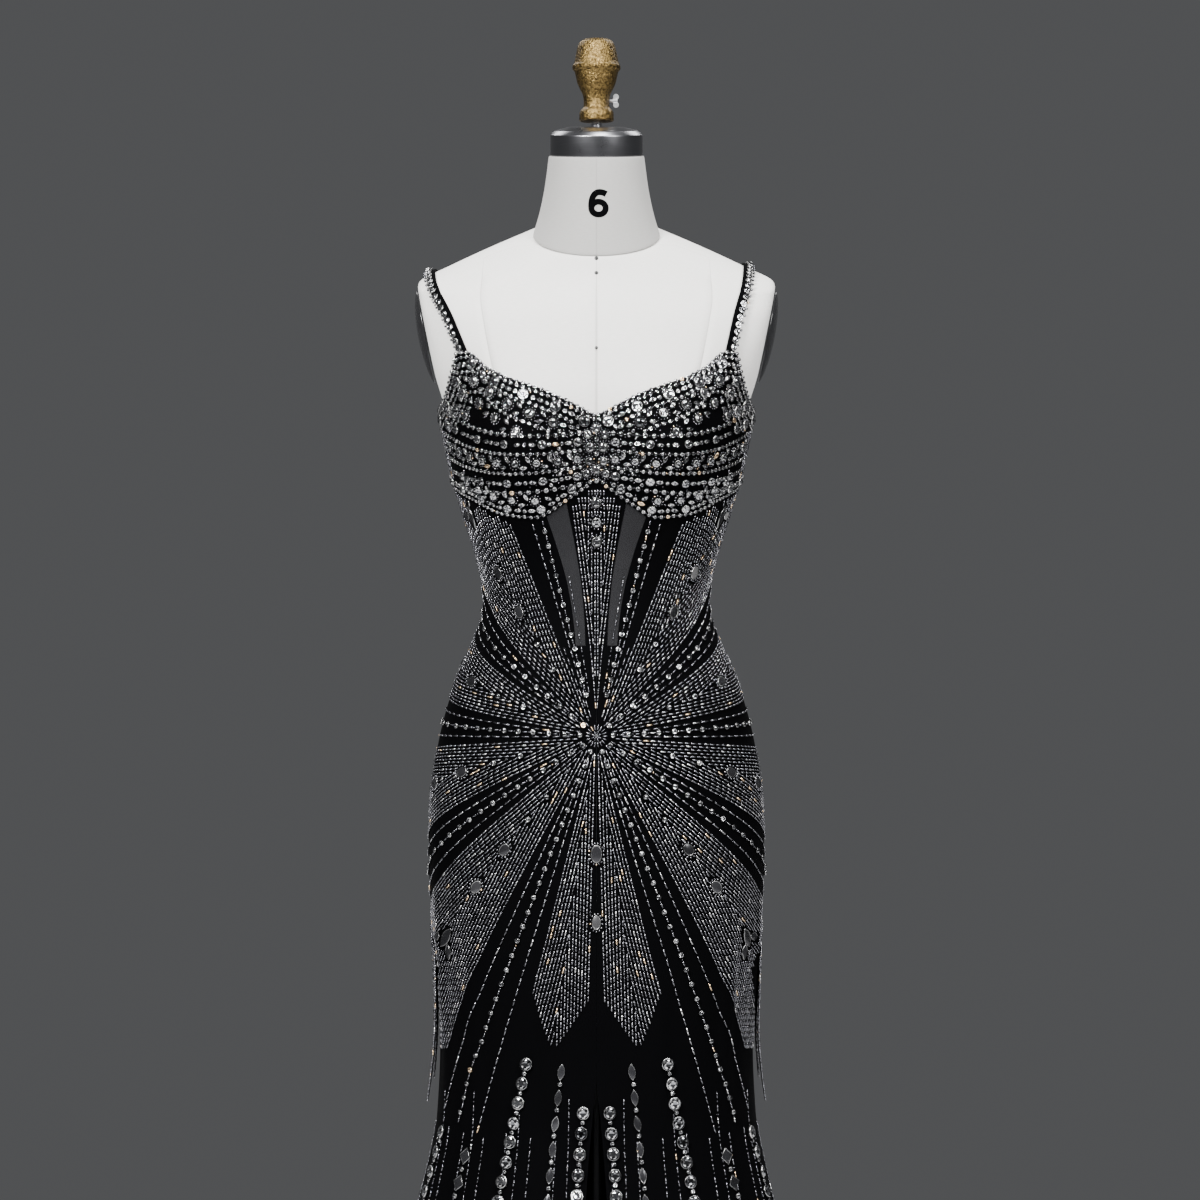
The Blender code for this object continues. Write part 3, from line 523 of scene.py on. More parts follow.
BRUSHED = brushed_finish("brushed_steel_finish", (0.50, 0.50, 0.52), 0.24)
CAP_STEEL = brushed_finish("cap_steel_finish", (0.28, 0.28, 0.295), 0.28)
# The pole is brushed steel like the rod, darkened almost to black as painted shade for the dark inside of
# the skirt.
SHADED_POLE_STEEL = brushed_finish("pole_steel_finish", (0.06, 0.06, 0.063), 0.35)
DARK_PLATE = lacquer_finish("dark_plate_finish", (0.012, 0.012, 0.013), 0.10, 300.0, 0.00002)
CHROME = brushed_finish("chrome_finish", (0.90, 0.90, 0.91), 0.30, (400, 400, 400))
BLACK_METAL = lacquer_finish("black_metal_finish", (0.012, 0.012, 0.012), 0.30, 900.0, 0.00005)
CAST_IRON = lacquer_finish("cast_iron_finish", (0.020, 0.020, 0.021), 0.50, 260.0, 0.0004)
PAINT = net_finish("number_paint_finish")
BEAD_FINISHES = (BUGLE_GLASS, STONE_GLASS, MIRROR_GLASS, SETTING_METAL)
BUGLES, STONES, MIRRORS, SETTINGS = range(4)


# ---------------------------------------------------------------- making pieces
def link(name, mesh, finishes):
    """Puts a mesh in the scene as a piece of the gown and its form."""
    made = bpy.data.objects.new(name, mesh)
    bpy.context.scene.collection.objects.link(made)
    for finish in finishes:
        mesh.materials.append(finish)
    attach(made, BODY)
    return made


def mesh_of(name, points, loops, sizes):
    """A mesh from its points, the corners of all its faces in turn, and the faces' sizes."""
    mesh = bpy.data.meshes.new(name)
    mesh.vertices.add(len(points))
    mesh.vertices.foreach_set("co", np.asarray(points, np.float32).ravel())
    mesh.loops.add(len(loops))
    mesh.loops.foreach_set("vertex_index", np.asarray(loops, np.int32))
    mesh.polygons.add(len(sizes))
    starts = np.concatenate(([0], np.cumsum(sizes)[:-1]))
    mesh.polygons.foreach_set("loop_start", starts.astype(np.int32))
    mesh.update(calc_edges=True)
    return mesh


def grid_faces(rows, columns, closed=False, first=0):
    """Corners of the quads of a grid of points."""
    i, j = np.meshgrid(np.arange(rows - 1), np.arange(columns if closed else columns - 1), indexing="ij")
    k = (j + 1) % columns
    quads = np.stack((i * columns + j, i * columns + k, (i + 1) * columns + k, (i + 1) * columns + j), -1)
    return quads.reshape(-1, 4) + first


def smooth(mesh, degrees=40):
    mesh.shade_smooth()
    mesh.set_sharp_from_angle(angle=math.radians(degrees))


# Radii that turn angles into widths for the weaves.
CLOTH_RADIUS, TORSO_RADIUS, NECK_RADIUS = 0.16, 0.15, 0.055


def put_places(mesh, places):
    """Keeps each point's place on the unrolled cloth, which the weaves follow."""
    stored = mesh.attributes.new("cloth_place", "FLOAT_VECTOR", "POINT")
    stored.data.foreach_set("vector", np.asarray(places, np.float32).ravel())


def wall(name, inner, outer, places, finish, nodes):
    """A closed cloth wall between two grids of points, rows from top to bottom."""
    rows, columns = inner.shape[:2]
    quads = grid_faces(rows, columns)
    count = rows * columns
    rim = [(0, j) for j in range(columns)] + [(i, columns - 1) for i in range(1, rows)]
    rim += [(rows - 1, j) for j in range(columns - 2, -1, -1)] + [(i, 0) for i in range(rows - 2, 0, -1)]
    rim = np.array([i * columns + j for i, j in rim])
    ahead = np.roll(rim, -1)
    edge = np.stack((rim, ahead, ahead + count, rim + count), axis=1)
    faces = np.concatenate((quads, quads[:, ::-1] + count, edge[:, ::-1]))
    points = np.concatenate((inner.reshape(-1, 3), outer.reshape(-1, 3)))
    mesh = mesh_of(name, points, faces.ravel(), np.full(len(faces), 4))
    shape = bmesh.new()
    shape.from_mesh(mesh)
    bmesh.ops.recalc_face_normals(shape, faces=shape.faces)
    if shape.calc_volume(signed=True) < 0:
        bmesh.ops.reverse_faces(shape, faces=shape.faces)
    shape.to_mesh(mesh)
    shape.free()
    smooth(mesh, 50)
    flat = np.concatenate((places, np.zeros((*places.shape[:2], 1))), axis=-1).reshape(-1, 3)
    put_places(mesh, np.concatenate((flat, flat)))
    made = link(name, mesh, (finish,))
    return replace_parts(made, *nodes) if nodes else made


def cloth(name, angles, heights, node, finish=BLACK_NET, slot="beaded_net", thickness=CLOTH):
    """A cloth panel from a grid of angles and heights on the figure."""
    inner = lifted(angles, heights, EASE)
    outer = lifted(angles, heights, EASE + thickness)
    places = np.stack((np.radians(angles) * CLOTH_RADIUS, heights), axis=-1)
    return wall(name, inner, outer, places, finish, (node,))


def half_seam(angle, height):
    """Half a seam's gap as a turn at an angle and height."""
    step = figure(angle + 0.5, height) - figure(angle - 0.5, height)
    return SEAM / 2 / np.linalg.norm(step, axis=-1)


def turned(name, profile, finish, node, sides=96, grain=0.0):
    """A turned piece from radius and height pairs, from its top down, with an uneven grain."""
    profile = np.array(profile, dtype=float)
    turn = np.linspace(0, 2 * np.pi, sides, endpoint=False)
    radius, height = profile[1:-1, 0], profile[1:-1, 1]
    radius = radius[:, None] + RANDOM.normal(0, 1, (len(radius), sides)) * grain
    level = np.broadcast_to(WAIST + height[:, None], radius.shape)
    ring = np.stack((radius * np.sin(turn), -radius * np.cos(turn), level), axis=-1)
    rows = len(ring)
    ends = [(0, 0, WAIST + profile[0, 1]), (0, 0, WAIST + profile[-1, 1])]
    points = np.concatenate((ring.reshape(-1, 3), ends))
    quads = grid_faces(rows, sides, closed=True)
    around = np.arange(sides)
    following = (around + 1) % sides
    top = np.stack((following, around, np.full(sides, rows * sides)), axis=1)
    last = (rows - 1) * sides
    foot = np.stack((around + last, following + last, np.full(sides, rows * sides + 1)), axis=1)
    loops = np.concatenate([faces[:, ::-1].ravel() for faces in (quads, top, foot)])
    sizes = np.concatenate((np.full(len(quads), 4), np.full(2 * sides, 3)))
    mesh = mesh_of(name, points, loops, sizes)
    smooth(mesh, 42)
    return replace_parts(link(name, mesh, (finish,)), node)


def rounded(profile, reach=0.0012, steps=4):
    """A profile with its inner corners rounded by short curves."""
    points = [np.array(point, dtype=float) for point in profile]
    out = [points[0]]
    for before, corner, after in zip(points, points[1:], points[2:]):
        back, on = before - corner, after - corner
        near = min(reach, 0.45 * np.linalg.norm(back), 0.45 * np.linalg.norm(on))
        start = corner + back / np.linalg.norm(back) * near
        end = corner + on / np.linalg.norm(on) * near
        for t in np.linspace(0, 1, steps):
            out.append((1 - t) ** 2 * start + 2 * t * (1 - t) * corner + t * t * end)
    return out + [points[-1]]


# ---------------------------------------------------------------- the dress form
# The princess seam's distance from the middle. Columns: height, across.
PRINCESS = Sections((
    (-0.330, 0.078), (-0.150, 0.068), (0.000, 0.048), (0.150, 0.078), (0.257, 0.110),
    (0.330, 0.120), (0.3675, 0.1180), (0.387, 0.062),
))
SEAM_HALF_TURN = 0.36  # half the width of a sewn seam's groove, in degrees
NECK_SEAM_TURN = 0.9
SEAM_DEPTH = 0.0008
ARM_EDGE = 0.0034  # how softly the linen turns over the rim of the arm's cut
SEAT = 0.0003
PLATE = {
    "height": 0.281, "centre_y": 0.004, "half_depth": 0.036, "half_tall": 0.050, "dome": 0.008,
    "cut": 0.35,  # the dome's share of a whole ball that is left out below it
}


def torso_columns(height):
    """Angles of the torso's columns at each height, and how much of a seam each is."""
    half_width = FORM.at(height)[0]
    princess = angle_across(np.minimum(PRINCESS.at(height)[0], 0.985 * half_width), height)
    flat = np.zeros_like(height)
    half = [flat, princess, flat + 90, 180 - princess]
    keys = half + [180 + turn for turn in half] + [flat + 360]
    columns, seams = [], []
    for start, end, count in zip(keys, keys[1:], (15, 20, 20, 15) * 2):
        inner = np.linspace(start + SEAM_HALF_TURN, end - SEAM_HALF_TURN, count)
        columns += [start, *inner]
        seams += [1.0] + [0.0] * count
    return np.stack(columns, axis=1), np.array(seams)


def put_tones(mesh, tones, domain="POINT"):
    stored = mesh.attributes.new("tone", "FLOAT", domain)
    stored.data.foreach_set("value", np.asarray(tones, np.float32).ravel())


def closed_loft(name, rings, places, finish, nodes, tones=None):
    rows, columns = rings.shape[:2]
    quads = grid_faces(rows, columns, closed=True)
    ends = np.concatenate((np.arange(columns)[::-1], (rows - 1) * columns + np.arange(columns)))
    loops = np.concatenate((quads.ravel(), ends))
    mesh = mesh_of(name, rings.reshape(-1, 3), loops, [4] * len(quads) + [columns, columns])
    smooth(mesh, 60)
    put_places(mesh, places.reshape(-1, 3))
    if tones is not None:
        put_tones(mesh, np.broadcast_to(tones, (rows, columns)))
    made = link(name, mesh, (finish,))
    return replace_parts(made, *nodes)


def make_torso():
    low, high = FORM_SECTIONS[0][0], FORM_SECTIONS[-1][0]
    height = np.concatenate((np.linspace(low, 0.295, 84), np.linspace(0.300, high, 46)))
    angle, seams = torso_columns(height)
    level = np.broadcast_to(height[:, None], angle.shape)
    shoulder = 1 - ramp(level, 0.350, 0.360) * (np.abs(angle % 180 - 90) > 1)
    depth = SEAM_DEPTH * seams * shoulder + 0.0010 * ramp(level, high - 0.003, high)
    points = lifted(angle, level, -depth, FORM)
    plane = ARM_PLANE["half_width"] + ARM_PLANE["lean"] * (points[..., 2] - WAIST - ARM_PLANE["height"])
    across = np.abs(points[..., 0])
    inside = (across + plane - np.sqrt((across - plane) ** 2 + 4 * ARM_EDGE**2)) / 2
    above = ramp(level, 0.10, 0.17)
    points[..., 0] = np.sign(points[..., 0]) * (across * (1 - above) + inside * above)
    places = np.stack((np.radians(angle) * TORSO_RADIUS, level, np.zeros_like(level)), axis=-1)
    return closed_loft("torso_linen", points, places, LINEN, ("form_torso",), seams)


def neck_point(angle, share):
    """A point of the neck at an angle and a share of its height."""
    flare = NECK_FLARE.at(share)[0]
    start = figure(angle, np.full_like(angle, FORM_SECTIONS[-1][0]), FORM)
    turn = np.radians(angle)
    x = NECK_TOP_RADIUS * np.sin(turn) * (1 - flare) + start[..., 0] * flare
    y = -NECK_TOP_RADIUS * np.cos(turn) * (1 - flare) + start[..., 1] * flare
    foot = start[..., 2] + SEAT
    top = WAIST + NECK_TOP - NECK_TIP * NECK_TOP_RADIUS * np.cos(turn)
    return np.stack((x, y, foot + (top - foot) * share), axis=-1)


def make_neck():
    share = np.concatenate(([0, 0.004, 0.010, 0.02], np.linspace(0.04, 0.985, 26), [0.993, 1.0]))
    half = np.concatenate(([0.0], np.linspace(NECK_SEAM_TURN, 180 - NECK_SEAM_TURN, 47)))
    angle, share = np.meshgrid(np.concatenate((half, half + 180)), share)
    seams = np.where(angle % 180 == 0, 0.8, 0.0)
    points = neck_point(angle, share)
    pinch = 1 - 0.016 * np.exp(-share / 0.008) - 0.010 * np.exp(-(1 - share) / 0.006)
    points[..., :2] *= pinch[..., None]
    places = np.stack((np.radians(angle) * NECK_RADIUS, points[..., 2], np.zeros_like(angle)), axis=-1)
    return closed_loft("neck_linen", points, places, SHADED_NECK_LINEN, ("form_neck",), seams)


NUMBER = {
    "across": 0.0022, "middle": 1.4765, "under": 0.00006, "thick": 0.00020,
    "bowl": (0.0106, 0.0098), "hole": (0.0042, 0.0036), "bowl_middle": -0.0054,
    "stem": ((-0.0074, -0.0060), (-0.0086, 0.0085), (-0.0020, 0.0150), (0.0080, 0.0092)),
    "half_stroke": 0.0032,
}


def on_neck(flat, out):
    """Points that stand off the neck's front, from flat ones round the number's middle."""
    x, z = NUMBER["across"] + flat[..., 0], NUMBER["middle"] + flat[..., 1]
    foot = WAIST + FORM_SECTIONS[-1][0] - NECK_DIP
    share = (z - foot) / (WAIST + NECK_TOP - NECK_TIP * NECK_TOP_RADIUS - foot)
    flare = NECK_FLARE.at(share)[0]
    radius = NECK_TOP_RADIUS * (1 - flare) + FORM_SECTIONS[-1][1] * flare
    place = neck_point(np.degrees(np.arcsin(x / radius)), share)
    place[..., 1] -= out
    place[..., 2] = z
    return place


def make_number():
    """The form's size, a plain painted 6: a round bowl and a curved stem."""
    turn = np.linspace(0, 2 * np.pi, 49)[:, None]
    across = np.linspace(0, 1, 5)
    bowl = []
    for sweep, k in ((np.cos(turn), 0), (np.sin(turn), 1)):
        bowl.append(sweep * (NUMBER["hole"][k] + (NUMBER["bowl"][k] - NUMBER["hole"][k]) * across))
    bowl = np.stack(bowl, axis=-1) + (0, NUMBER["bowl_middle"])
    t = np.linspace(0, 1, 24)[:, None]
    first, second, third, last = np.array(NUMBER["stem"])
    line = (1 - t) ** 3 * first + 3 * t * (1 - t) ** 2 * second + 3 * t * t * (1 - t) * third + t**3 * last
    way = unit(np.gradient(line, axis=0))
    aside = np.stack((way[:, 1], -way[:, 0]), axis=-1)[:, None, :]
    stem = line[:, None, :] + aside * (across * 2 - 1)[None, :, None] * NUMBER["half_stroke"]
    for word, flat in (("bowl", bowl), ("stem", stem)):
        thick = NUMBER["thick"] + (0.00003 if word == "stem" else 0)
        inner, outer = on_neck(flat, NUMBER["under"]), on_neck(flat, NUMBER["under"] + thick)
        wall(f"size_number_{word}", inner, outer, flat, PAINT, ())


def make_arm_plate(word, side):
    """A domed oval plate on the flat of the arm's cut."""
    rings, turns = 14, 72
    share = np.sin(np.linspace(np.pi / 2, 0.02, rings))
    rim = math.sqrt(1 - PLATE["cut"] ** 2)
    dome = (np.sqrt(1 - (share * rim) ** 2) - PLATE["cut"]) / (1 - PLATE["cut"]) * PLATE["dome"]
    share, dome = np.concatenate(([1.0], share)), np.concatenate(([0.0], dome + 0.0004))
    turn = np.linspace(0, 2 * np.pi, turns, endpoint=False)
    upward = np.array((ARM_PLANE["lean"], 0, 1)) / math.hypot(ARM_PLANE["lean"], 1)
    out = np.array((1, 0, -ARM_PLANE["lean"])) / math.hypot(ARM_PLANE["lean"], 1)
    middle = ARM_PLANE["half_width"] + ARM_PLANE["lean"] * (PLATE["height"] - ARM_PLANE["height"])
    points = np.array((middle, PLATE["centre_y"], WAIST + PLATE["height"])) + (
        (SEAT + dome)[:, None, None] * out
        + (share[:, None] * np.cos(turn))[..., None] * PLATE["half_tall"] * upward
        + (share[:, None] * np.sin(turn))[..., None] * PLATE["half_depth"] * np.array((0, 1, 0)))
    points[..., 0] *= side
    if side > 0:
        points = points[:, ::-1]
    return closed_loft(
        f"arm_plate_{word}_polished", points, points, DARK_PLATE, (f"arm_plate_{word}",)
    )


# Profiles of the turned pieces. Columns: radius, height.
CAP_PROFILE = (
    (0.0, 0.5020), (0.0300, 0.5012), (0.0440, 0.4975), (0.0485, 0.4930), (0.0485, 0.4713), (0.0, 0.4713)
)
FINIAL_PROFILE = (
    (0.0, 0.5945), (0.0120, 0.5940), (0.0172, 0.5912), (0.0196, 0.5862), (0.0212, 0.5790),
    (0.0229, 0.5700), (0.0237, 0.5675), (0.0252, 0.5658), (0.0252, 0.5620), (0.0230, 0.5600),
    (0.0220, 0.5560), (0.0203, 0.5480), (0.0170, 0.5405), (0.0142, 0.5355), (0.0132, 0.5290),
    (0.0136, 0.5215), (0.0166, 0.5190), (0.0178, 0.5165), (0.0182, 0.5074), (0.0, 0.5074),
)
FINIAL_GRAIN = 0.00007
# Finishes of the nodes that are carried over from the solids.
NODE_FINISHES = {
    "finial_rod": BRUSHED, "wing_screw": CHROME, "stand_pole": SHADED_POLE_STEEL, "stand_base": CAST_IRON,
    "zip_slider": BLACK_METAL, "zip_pull": BLACK_METAL,
}


def make_form():
    make_torso()
    make_neck()
    make_number()
    for word, side in SIDES.items():
        make_arm_plate(word, side)
    cap = turned("neck_cap_brushed", rounded(CAP_PROFILE, 0.0008), CAP_STEEL, "neck_cap")
    foot = Matrix.Translation((0, 0, WAIST + NECK_TOP))
    cap.data.transform(foot @ Matrix.Rotation(math.atan(NECK_TIP), 4, "X") @ foot.inverted())
    profile = rounded(FINIAL_PROFILE, 0.0022, 5)
    turned("finial_hammered", profile, GOLD, "finial", grain=FINIAL_GRAIN)
    for node, finish in NODE_FINISHES.items():
        for material_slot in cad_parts[node].material_slots:
            material_slot.material = finish


# ---------------------------------------------------------------- the cloth
def seam_turns(columns, heights):
    """Column angles with the outer two moved in by half a seam's gap."""
    angles = np.array(columns, dtype=float)
    angles[..., 0] += half_seam(angles[..., 0], heights[..., 0])
    angles[..., -1] -= half_seam(angles[..., -1], heights[..., -1])
    return angles


def between(top, foot, rows):
    """Rows from one edge's heights down to another's."""
    share = np.linspace(0, 1, rows)[:, None]
    return top[None, :] * (1 - share) + foot[None, :] * share


def slanted(name, table, side, node, count, rows=46, **kind):
    """A bodice panel below the bust whose columns lean from the under-bust to the waist seam."""
    ends = np.array(table, dtype=float)
    steps = np.linspace(0, len(ends) - 1, count)
    top, foot = (np.interp(steps, np.arange(len(ends)), ends[:, k]) for k in (0, 1))
    high = UNDERBUST_CURVE.at(np.abs(top))[0] - SEAM
    low = np.full(count, WAIST_SEAM + SEAM / 2)
    heights = between(high, low, rows)
    angles = seam_turns(between(top, foot, rows), heights)
    return cloth(name, side * angles, heights, node, **kind)


def slit_open(height):
    """Half the slit's opening at a height."""
    below = np.maximum(0, SLIT_TOP - np.asarray(height))
    return SLIT_HALF_OPEN * (1 - np.exp(-below / SLIT_REACH))


def upright(node, side, angle, top, foot, rows):
    """A panel whose columns stand upright between its two edges' heights."""
    heights = between(top, foot, rows)
    angles = seam_turns(np.broadcast_to(angle, heights.shape), heights)
    return cloth(f"{node}_net", side * angles, heights, node)


def skirt_panel(node, side, start, end, slit=False):
    """A skirt panel from one seam to the next, which the slit draws back at the front."""
    rows, columns = 150, 49
    height = np.linspace(WAIST_SEAM - SEAM / 2, HEM - WAIST, rows)
    heights = height[:, None].repeat(columns, axis=1)
    angles = seam_turns(np.linspace(start, end, columns)[None, :].repeat(rows, axis=0), heights)
    if slit:
        drawn = FRONT_PLAN.angle(slit_open(height) / FRONT_PLAN.quarter(height), height)
        edge = np.maximum(angles[:, 0], drawn)
        angles = edge[:, None] + (angles - angles[:, :1]) * ((90 - edge) / 90)[:, None]
    return cloth(f"{node}_net", side * angles, heights, node)


def make_cloth():
    made = {"bodice_centre_front": slanted("centre_front_net", CENTRE_FRONT, 1, "bodice_centre_front", 17)}
    sheer = {"finish": SHEER_NET, "slot": "sheer_net", "thickness": NET}
    for word, side in SIDES.items():
        for part, table, columns, kind in (("sheer", SHEER_FRONT, 11, sheer), ("side", SIDE_FRONT, 41, {})):
            node = f"bodice_{part}_{word}"
            made[node] = slanted(f"{part}_{word}_net", table, side, node, columns, **kind)
        angle = np.linspace(0, 90, 73)
        top, foot = NECKLINE_CURVE.at(angle)[0], UNDERBUST_CURVE.at(angle)[0] + SEAM * 0.7
        made[f"cup_{word}"] = upright(f"cup_{word}", side, angle, top, foot, 30)
        angle = np.linspace(90, 180, 61)
        top, foot = BACK_CURVE.at(angle)[0], np.full(len(angle), WAIST_SEAM + SEAM / 2)
        made[f"bodice_back_{word}"] = upright(f"bodice_back_{word}", side, angle, top, foot, 46)
        made[f"skirt_front_{word}"] = skirt_panel(f"skirt_front_{word}", side, 0.0, 90.0, slit=True)
        made[f"skirt_back_{word}"] = skirt_panel(f"skirt_back_{word}", side, 90.0, 180.0)
    return made


# ---------------------------------------------------------------- bead shapes
def outline(sides, pointed=False):
    """Corners round a bead, 1 long and 1 wide: an oval, or a lens with pointed ends."""
    angle = np.linspace(0, 2 * np.pi, sides, endpoint=False)
    across = np.sin(angle) * (np.abs(np.sin(angle)) if pointed else 1)
    return np.column_stack((np.cos(angle) / 2, across / 2))


# How much of its ring's swing in tone each facet takes, in turn; on the stones these light and dark facets
# are painted reflection.
FACETS = (-1.0, 0.8, -0.4, 1.0, -0.9, 0.3, 0.6)


def bead_shape(corners, rings, tilt, on_side=False):
    """A closed bead: its corners scaled and raised ring by ring, from its top down.

    A ring's row gives its scale, its height, and the finish, tone and swing in tone of the
    strip above it, or of the lid for the first. A tilt is how far beads of this shape lean.
    """
    count = len(corners)
    points = np.concatenate([
        np.column_stack((corners * scale, np.full(count, height))) for scale, height, *_ in rings
    ])
    if on_side:
        points = points[:, [2, 0, 1]]
    around = np.arange(count)
    following = (around + 1) % count
    faces, finish, tone = [around], [rings[0][2]], [rings[0][3]]
    for k, (_, _, strip_finish, strip_tone, swing) in enumerate(rings[1:]):
        upper, lower = k * count, (k + 1) * count
        faces += list(np.stack((around + upper, around + lower, following + lower, following + upper), 1))
        finish += [strip_finish] * count
        tone += [strip_tone + swing * FACETS[(j + 3 * k) % len(FACETS)] for j in range(count)]
    faces.append(around[::-1] + (len(rings) - 1) * count)
    finish.append(rings[-1][2])
    tone.append(0.0)
    return {
        "points": points, "loops": np.concatenate(faces), "sizes": np.array([len(face) for face in faces]),
        "finish": np.array(finish), "tone": np.array(tone), "tilt": tilt, "rolls": on_side,
    }


# Rings of the bead shapes. Columns: scale, height, finish, tone, swing in tone from facet to facet.
TUBE = ((1.0, 0.5, BUGLES, 0, 0), (1.0, -0.5, BUGLES, 0, 0))
BALL = ((0.55, 0.5, BUGLES, 0, 0), (1.0, 0.0, BUGLES, 0, 0), (0.55, -0.5, BUGLES, 0, 0))
# The stones' ring tones are partly painted light: the dark lid and the facets that swing light and dark
# stand for a cut stone's reflections, and the settings' dark inner wall, lighter rim and darker outer side
# are painted shade and highlight.
SET_STONE = (
    (0.46, 1.00, STONES, -0.30, 0), (0.84, 0.62, STONES, 0.02, 0.50), (0.94, 0.80, SETTINGS, -0.30, 0),
    (1.00, 0.55, SETTINGS, 0.06, 0), (0.90, 0.00, SETTINGS, -0.1, 0),
)
ROUND_STONE = (
    (0.38, 0.86, STONES, -0.20, 0), (0.64, 1.00, STONES, 0.0, 0.50), (0.84, 0.50, STONES, -0.12, 0.46),
    (0.92, 0.76, SETTINGS, -0.32, 0), (1.00, 0.45, SETTINGS, 0.10, 0), (0.94, 0.00, SETTINGS, -0.1, 0),
)
FLAT_MIRROR = (
    (0.84, 0.72, MIRRORS, 0, 0), (0.88, 0.66, SETTINGS, 0, 0), (0.95, 1.00, SETTINGS, 0, 0),
    (1.00, 0.70, SETTINGS, 0, 0), (1.00, 0.00, SETTINGS, 0, 0),
)
BEAD_SHAPES = {
    "bugle": bead_shape(outline(5), TUBE, 0.02, on_side=True),
    "seed": bead_shape(outline(6), BALL, 0.06),
    "stone": bead_shape(outline(8), SET_STONE, 0.11),
    "round": bead_shape(outline(12), ROUND_STONE, 0.11),
    "marquise": bead_shape(outline(10, pointed=True), SET_STONE, 0.11),
    "leaf": bead_shape(outline(14, pointed=True), FLAT_MIRROR, 0.06),
    "oval": bead_shape(outline(14), FLAT_MIRROR, 0.06),
    "lozenge": bead_shape(outline(4), FLAT_MIRROR, 0.06),
}


BEAD_ROLL = 0.22  # how far bugles roll about their length, in radians
BEAD_TONE = {"middle": 0.42, "spread": 0.13, "most": 0.80}
# A few small beads take the bright amber tone as painted glints.
AMBER_GLINT_BEADS = {"share": 0.02, "narrower_than": 0.006}


class BeadPieces:
    """Gathers beads by the piece they belong to, and joins each piece's into one mesh."""

    def __init__(self):
        self.rows = {}

    def add(self, piece, kind, centres, along, normals, size):
        """Beads of one kind, with size as rows of length, width and height."""
        self.rows.setdefault(piece, []).append((kind, centres, along, normals, size))

    def make(self, piece, replaced=()):
        """One mesh of a piece's beads, each a little tilted and with a tone of its own."""
        points, loops, sizes, finish, tone = [], [], [], [], []
        first = 0
        for kind, centres, along, normals, size in self.rows[piece]:
            count, shape = len(centres), BEAD_SHAPES[kind]
            normals = unit(normals + RANDOM.normal(0, shape["tilt"], (count, 3)))
            along = unit(along - normals * np.sum(along * normals, axis=1, keepdims=True))
            across = np.cross(normals, along)
            if shape["rolls"]:
                roll = RANDOM.normal(0, BEAD_ROLL, (count, 1))
                across, normals = (
                    across * np.cos(roll) + normals * np.sin(roll),
                    normals * np.cos(roll) - across * np.sin(roll),
                )
            frames = np.stack((along, across, normals), axis=1) * size[:, :, None]
            corners = np.einsum("pk,nkj->npj", shape["points"], frames) + centres[:, None, :]
            points.append(corners.reshape(-1, 3))
            starts = first + np.arange(count)[:, None] * len(shape["points"])
            loops.append((shape["loops"][None, :] + starts).ravel())
            sizes.append(np.tile(shape["sizes"], count))
            finish.append(np.tile(shape["finish"], count))
            own = BEAD_TONE["middle"] + BEAD_TONE["spread"] * RANDOM.standard_normal((count, 1))
            own = np.minimum(own, BEAD_TONE["most"])
            facets = np.clip(own + shape["tone"][None, :], 0, SILVER_TONE)
            # Some small beads are set to the amber tone: painted glints.
            glinting = RANDOM.random(count) < AMBER_GLINT_BEADS["share"]
            facets[glinting & (size[:, 1] < AMBER_GLINT_BEADS["narrower_than"])] = AMBER_GLINT_TONE
            tone.append(facets.ravel())
            first += count * len(shape["points"])
        mesh = mesh_of(piece, np.concatenate(points), np.concatenate(loops), np.concatenate(sizes))
        made = link(piece, mesh, BEAD_FINISHES)
        mesh.polygons.foreach_set("material_index", np.concatenate(finish).astype(np.int32))
        put_tones(mesh, np.concatenate(tone), "FACE")
        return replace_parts(made, *replaced) if replaced else made


BEADS = BeadPieces()

# Strings of beads. Columns: kind, length, width, height, and the gap after it.
PATTERNS = {
    "dash": (("bugle", 0.0078, 0.0017, 0.0017, 0.0026),),
    "fine": (("bugle", 0.0062, 0.0015, 0.0015, 0.0026), ("seed", 0.0017, 0.0017, 0.0015, 0.0026)),
    "row": (("bugle", 0.0058, 0.0017, 0.0017, 0.0013),),
    "stones": (
        ("stone", 0.0056, 0.0056, 0.0034, 0.0010), ("seed", 0.0018, 0.0018, 0.0016, 0.0010),
        ("bugle", 0.0050, 0.0017, 0.0017, 0.0010),
    ),
    "close": (("stone", 0.0052, 0.0052, 0.0032, 0.0007), ("seed", 0.0018, 0.0018, 0.0016, 0.0007)),
    "lozenges": (("lozenge", 0.0185, 0.0150, 0.0020, 0.0022), ("stone", 0.0058, 0.0058, 0.0034, 0.0022)),
    "rounds": (("round", 0.0140, 0.0132, 0.0050, 0.0008), ("stone", 0.0046, 0.0046, 0.0030, 0.0008)),
    "leaves": (("leaf", 0.0175, 0.0078, 0.0018, 0.0012), ("stone", 0.0050, 0.0050, 0.0030, 0.0012)),
    "trim": (("stone", 0.0056, 0.0056, 0.0036, 0.0004),),
    "small_trim": (("stone", 0.0040, 0.0040, 0.0028, 0.0003), ("seed", 0.0018, 0.0018, 0.0016, 0.0003)),
    "sprigs": (
        ("round", 0.0096, 0.0090, 0.0044, 0.0006), ("marquise", 0.0086, 0.0044, 0.0032, 0.0006),
        ("stone", 0.0044, 0.0044, 0.0030, 0.0006), ("marquise", 0.0086, 0.0044, 0.0032, 0.0006),
    ),
    "big_sprigs": (
        ("round", 0.0120, 0.0112, 0.0048, 0.0006), ("stone", 0.0046, 0.0046, 0.0030, 0.0005),
        ("marquise", 0.0088, 0.0050, 0.0034, 0.0005), ("stone", 0.0046, 0.0046, 0.0030, 0.0006),
    ),
    "fringe": (("bugle", 0.0052, 0.0018, 0.0018, 0.0006), ("seed", 0.0022, 0.0022, 0.0020, 0.0006)),
}
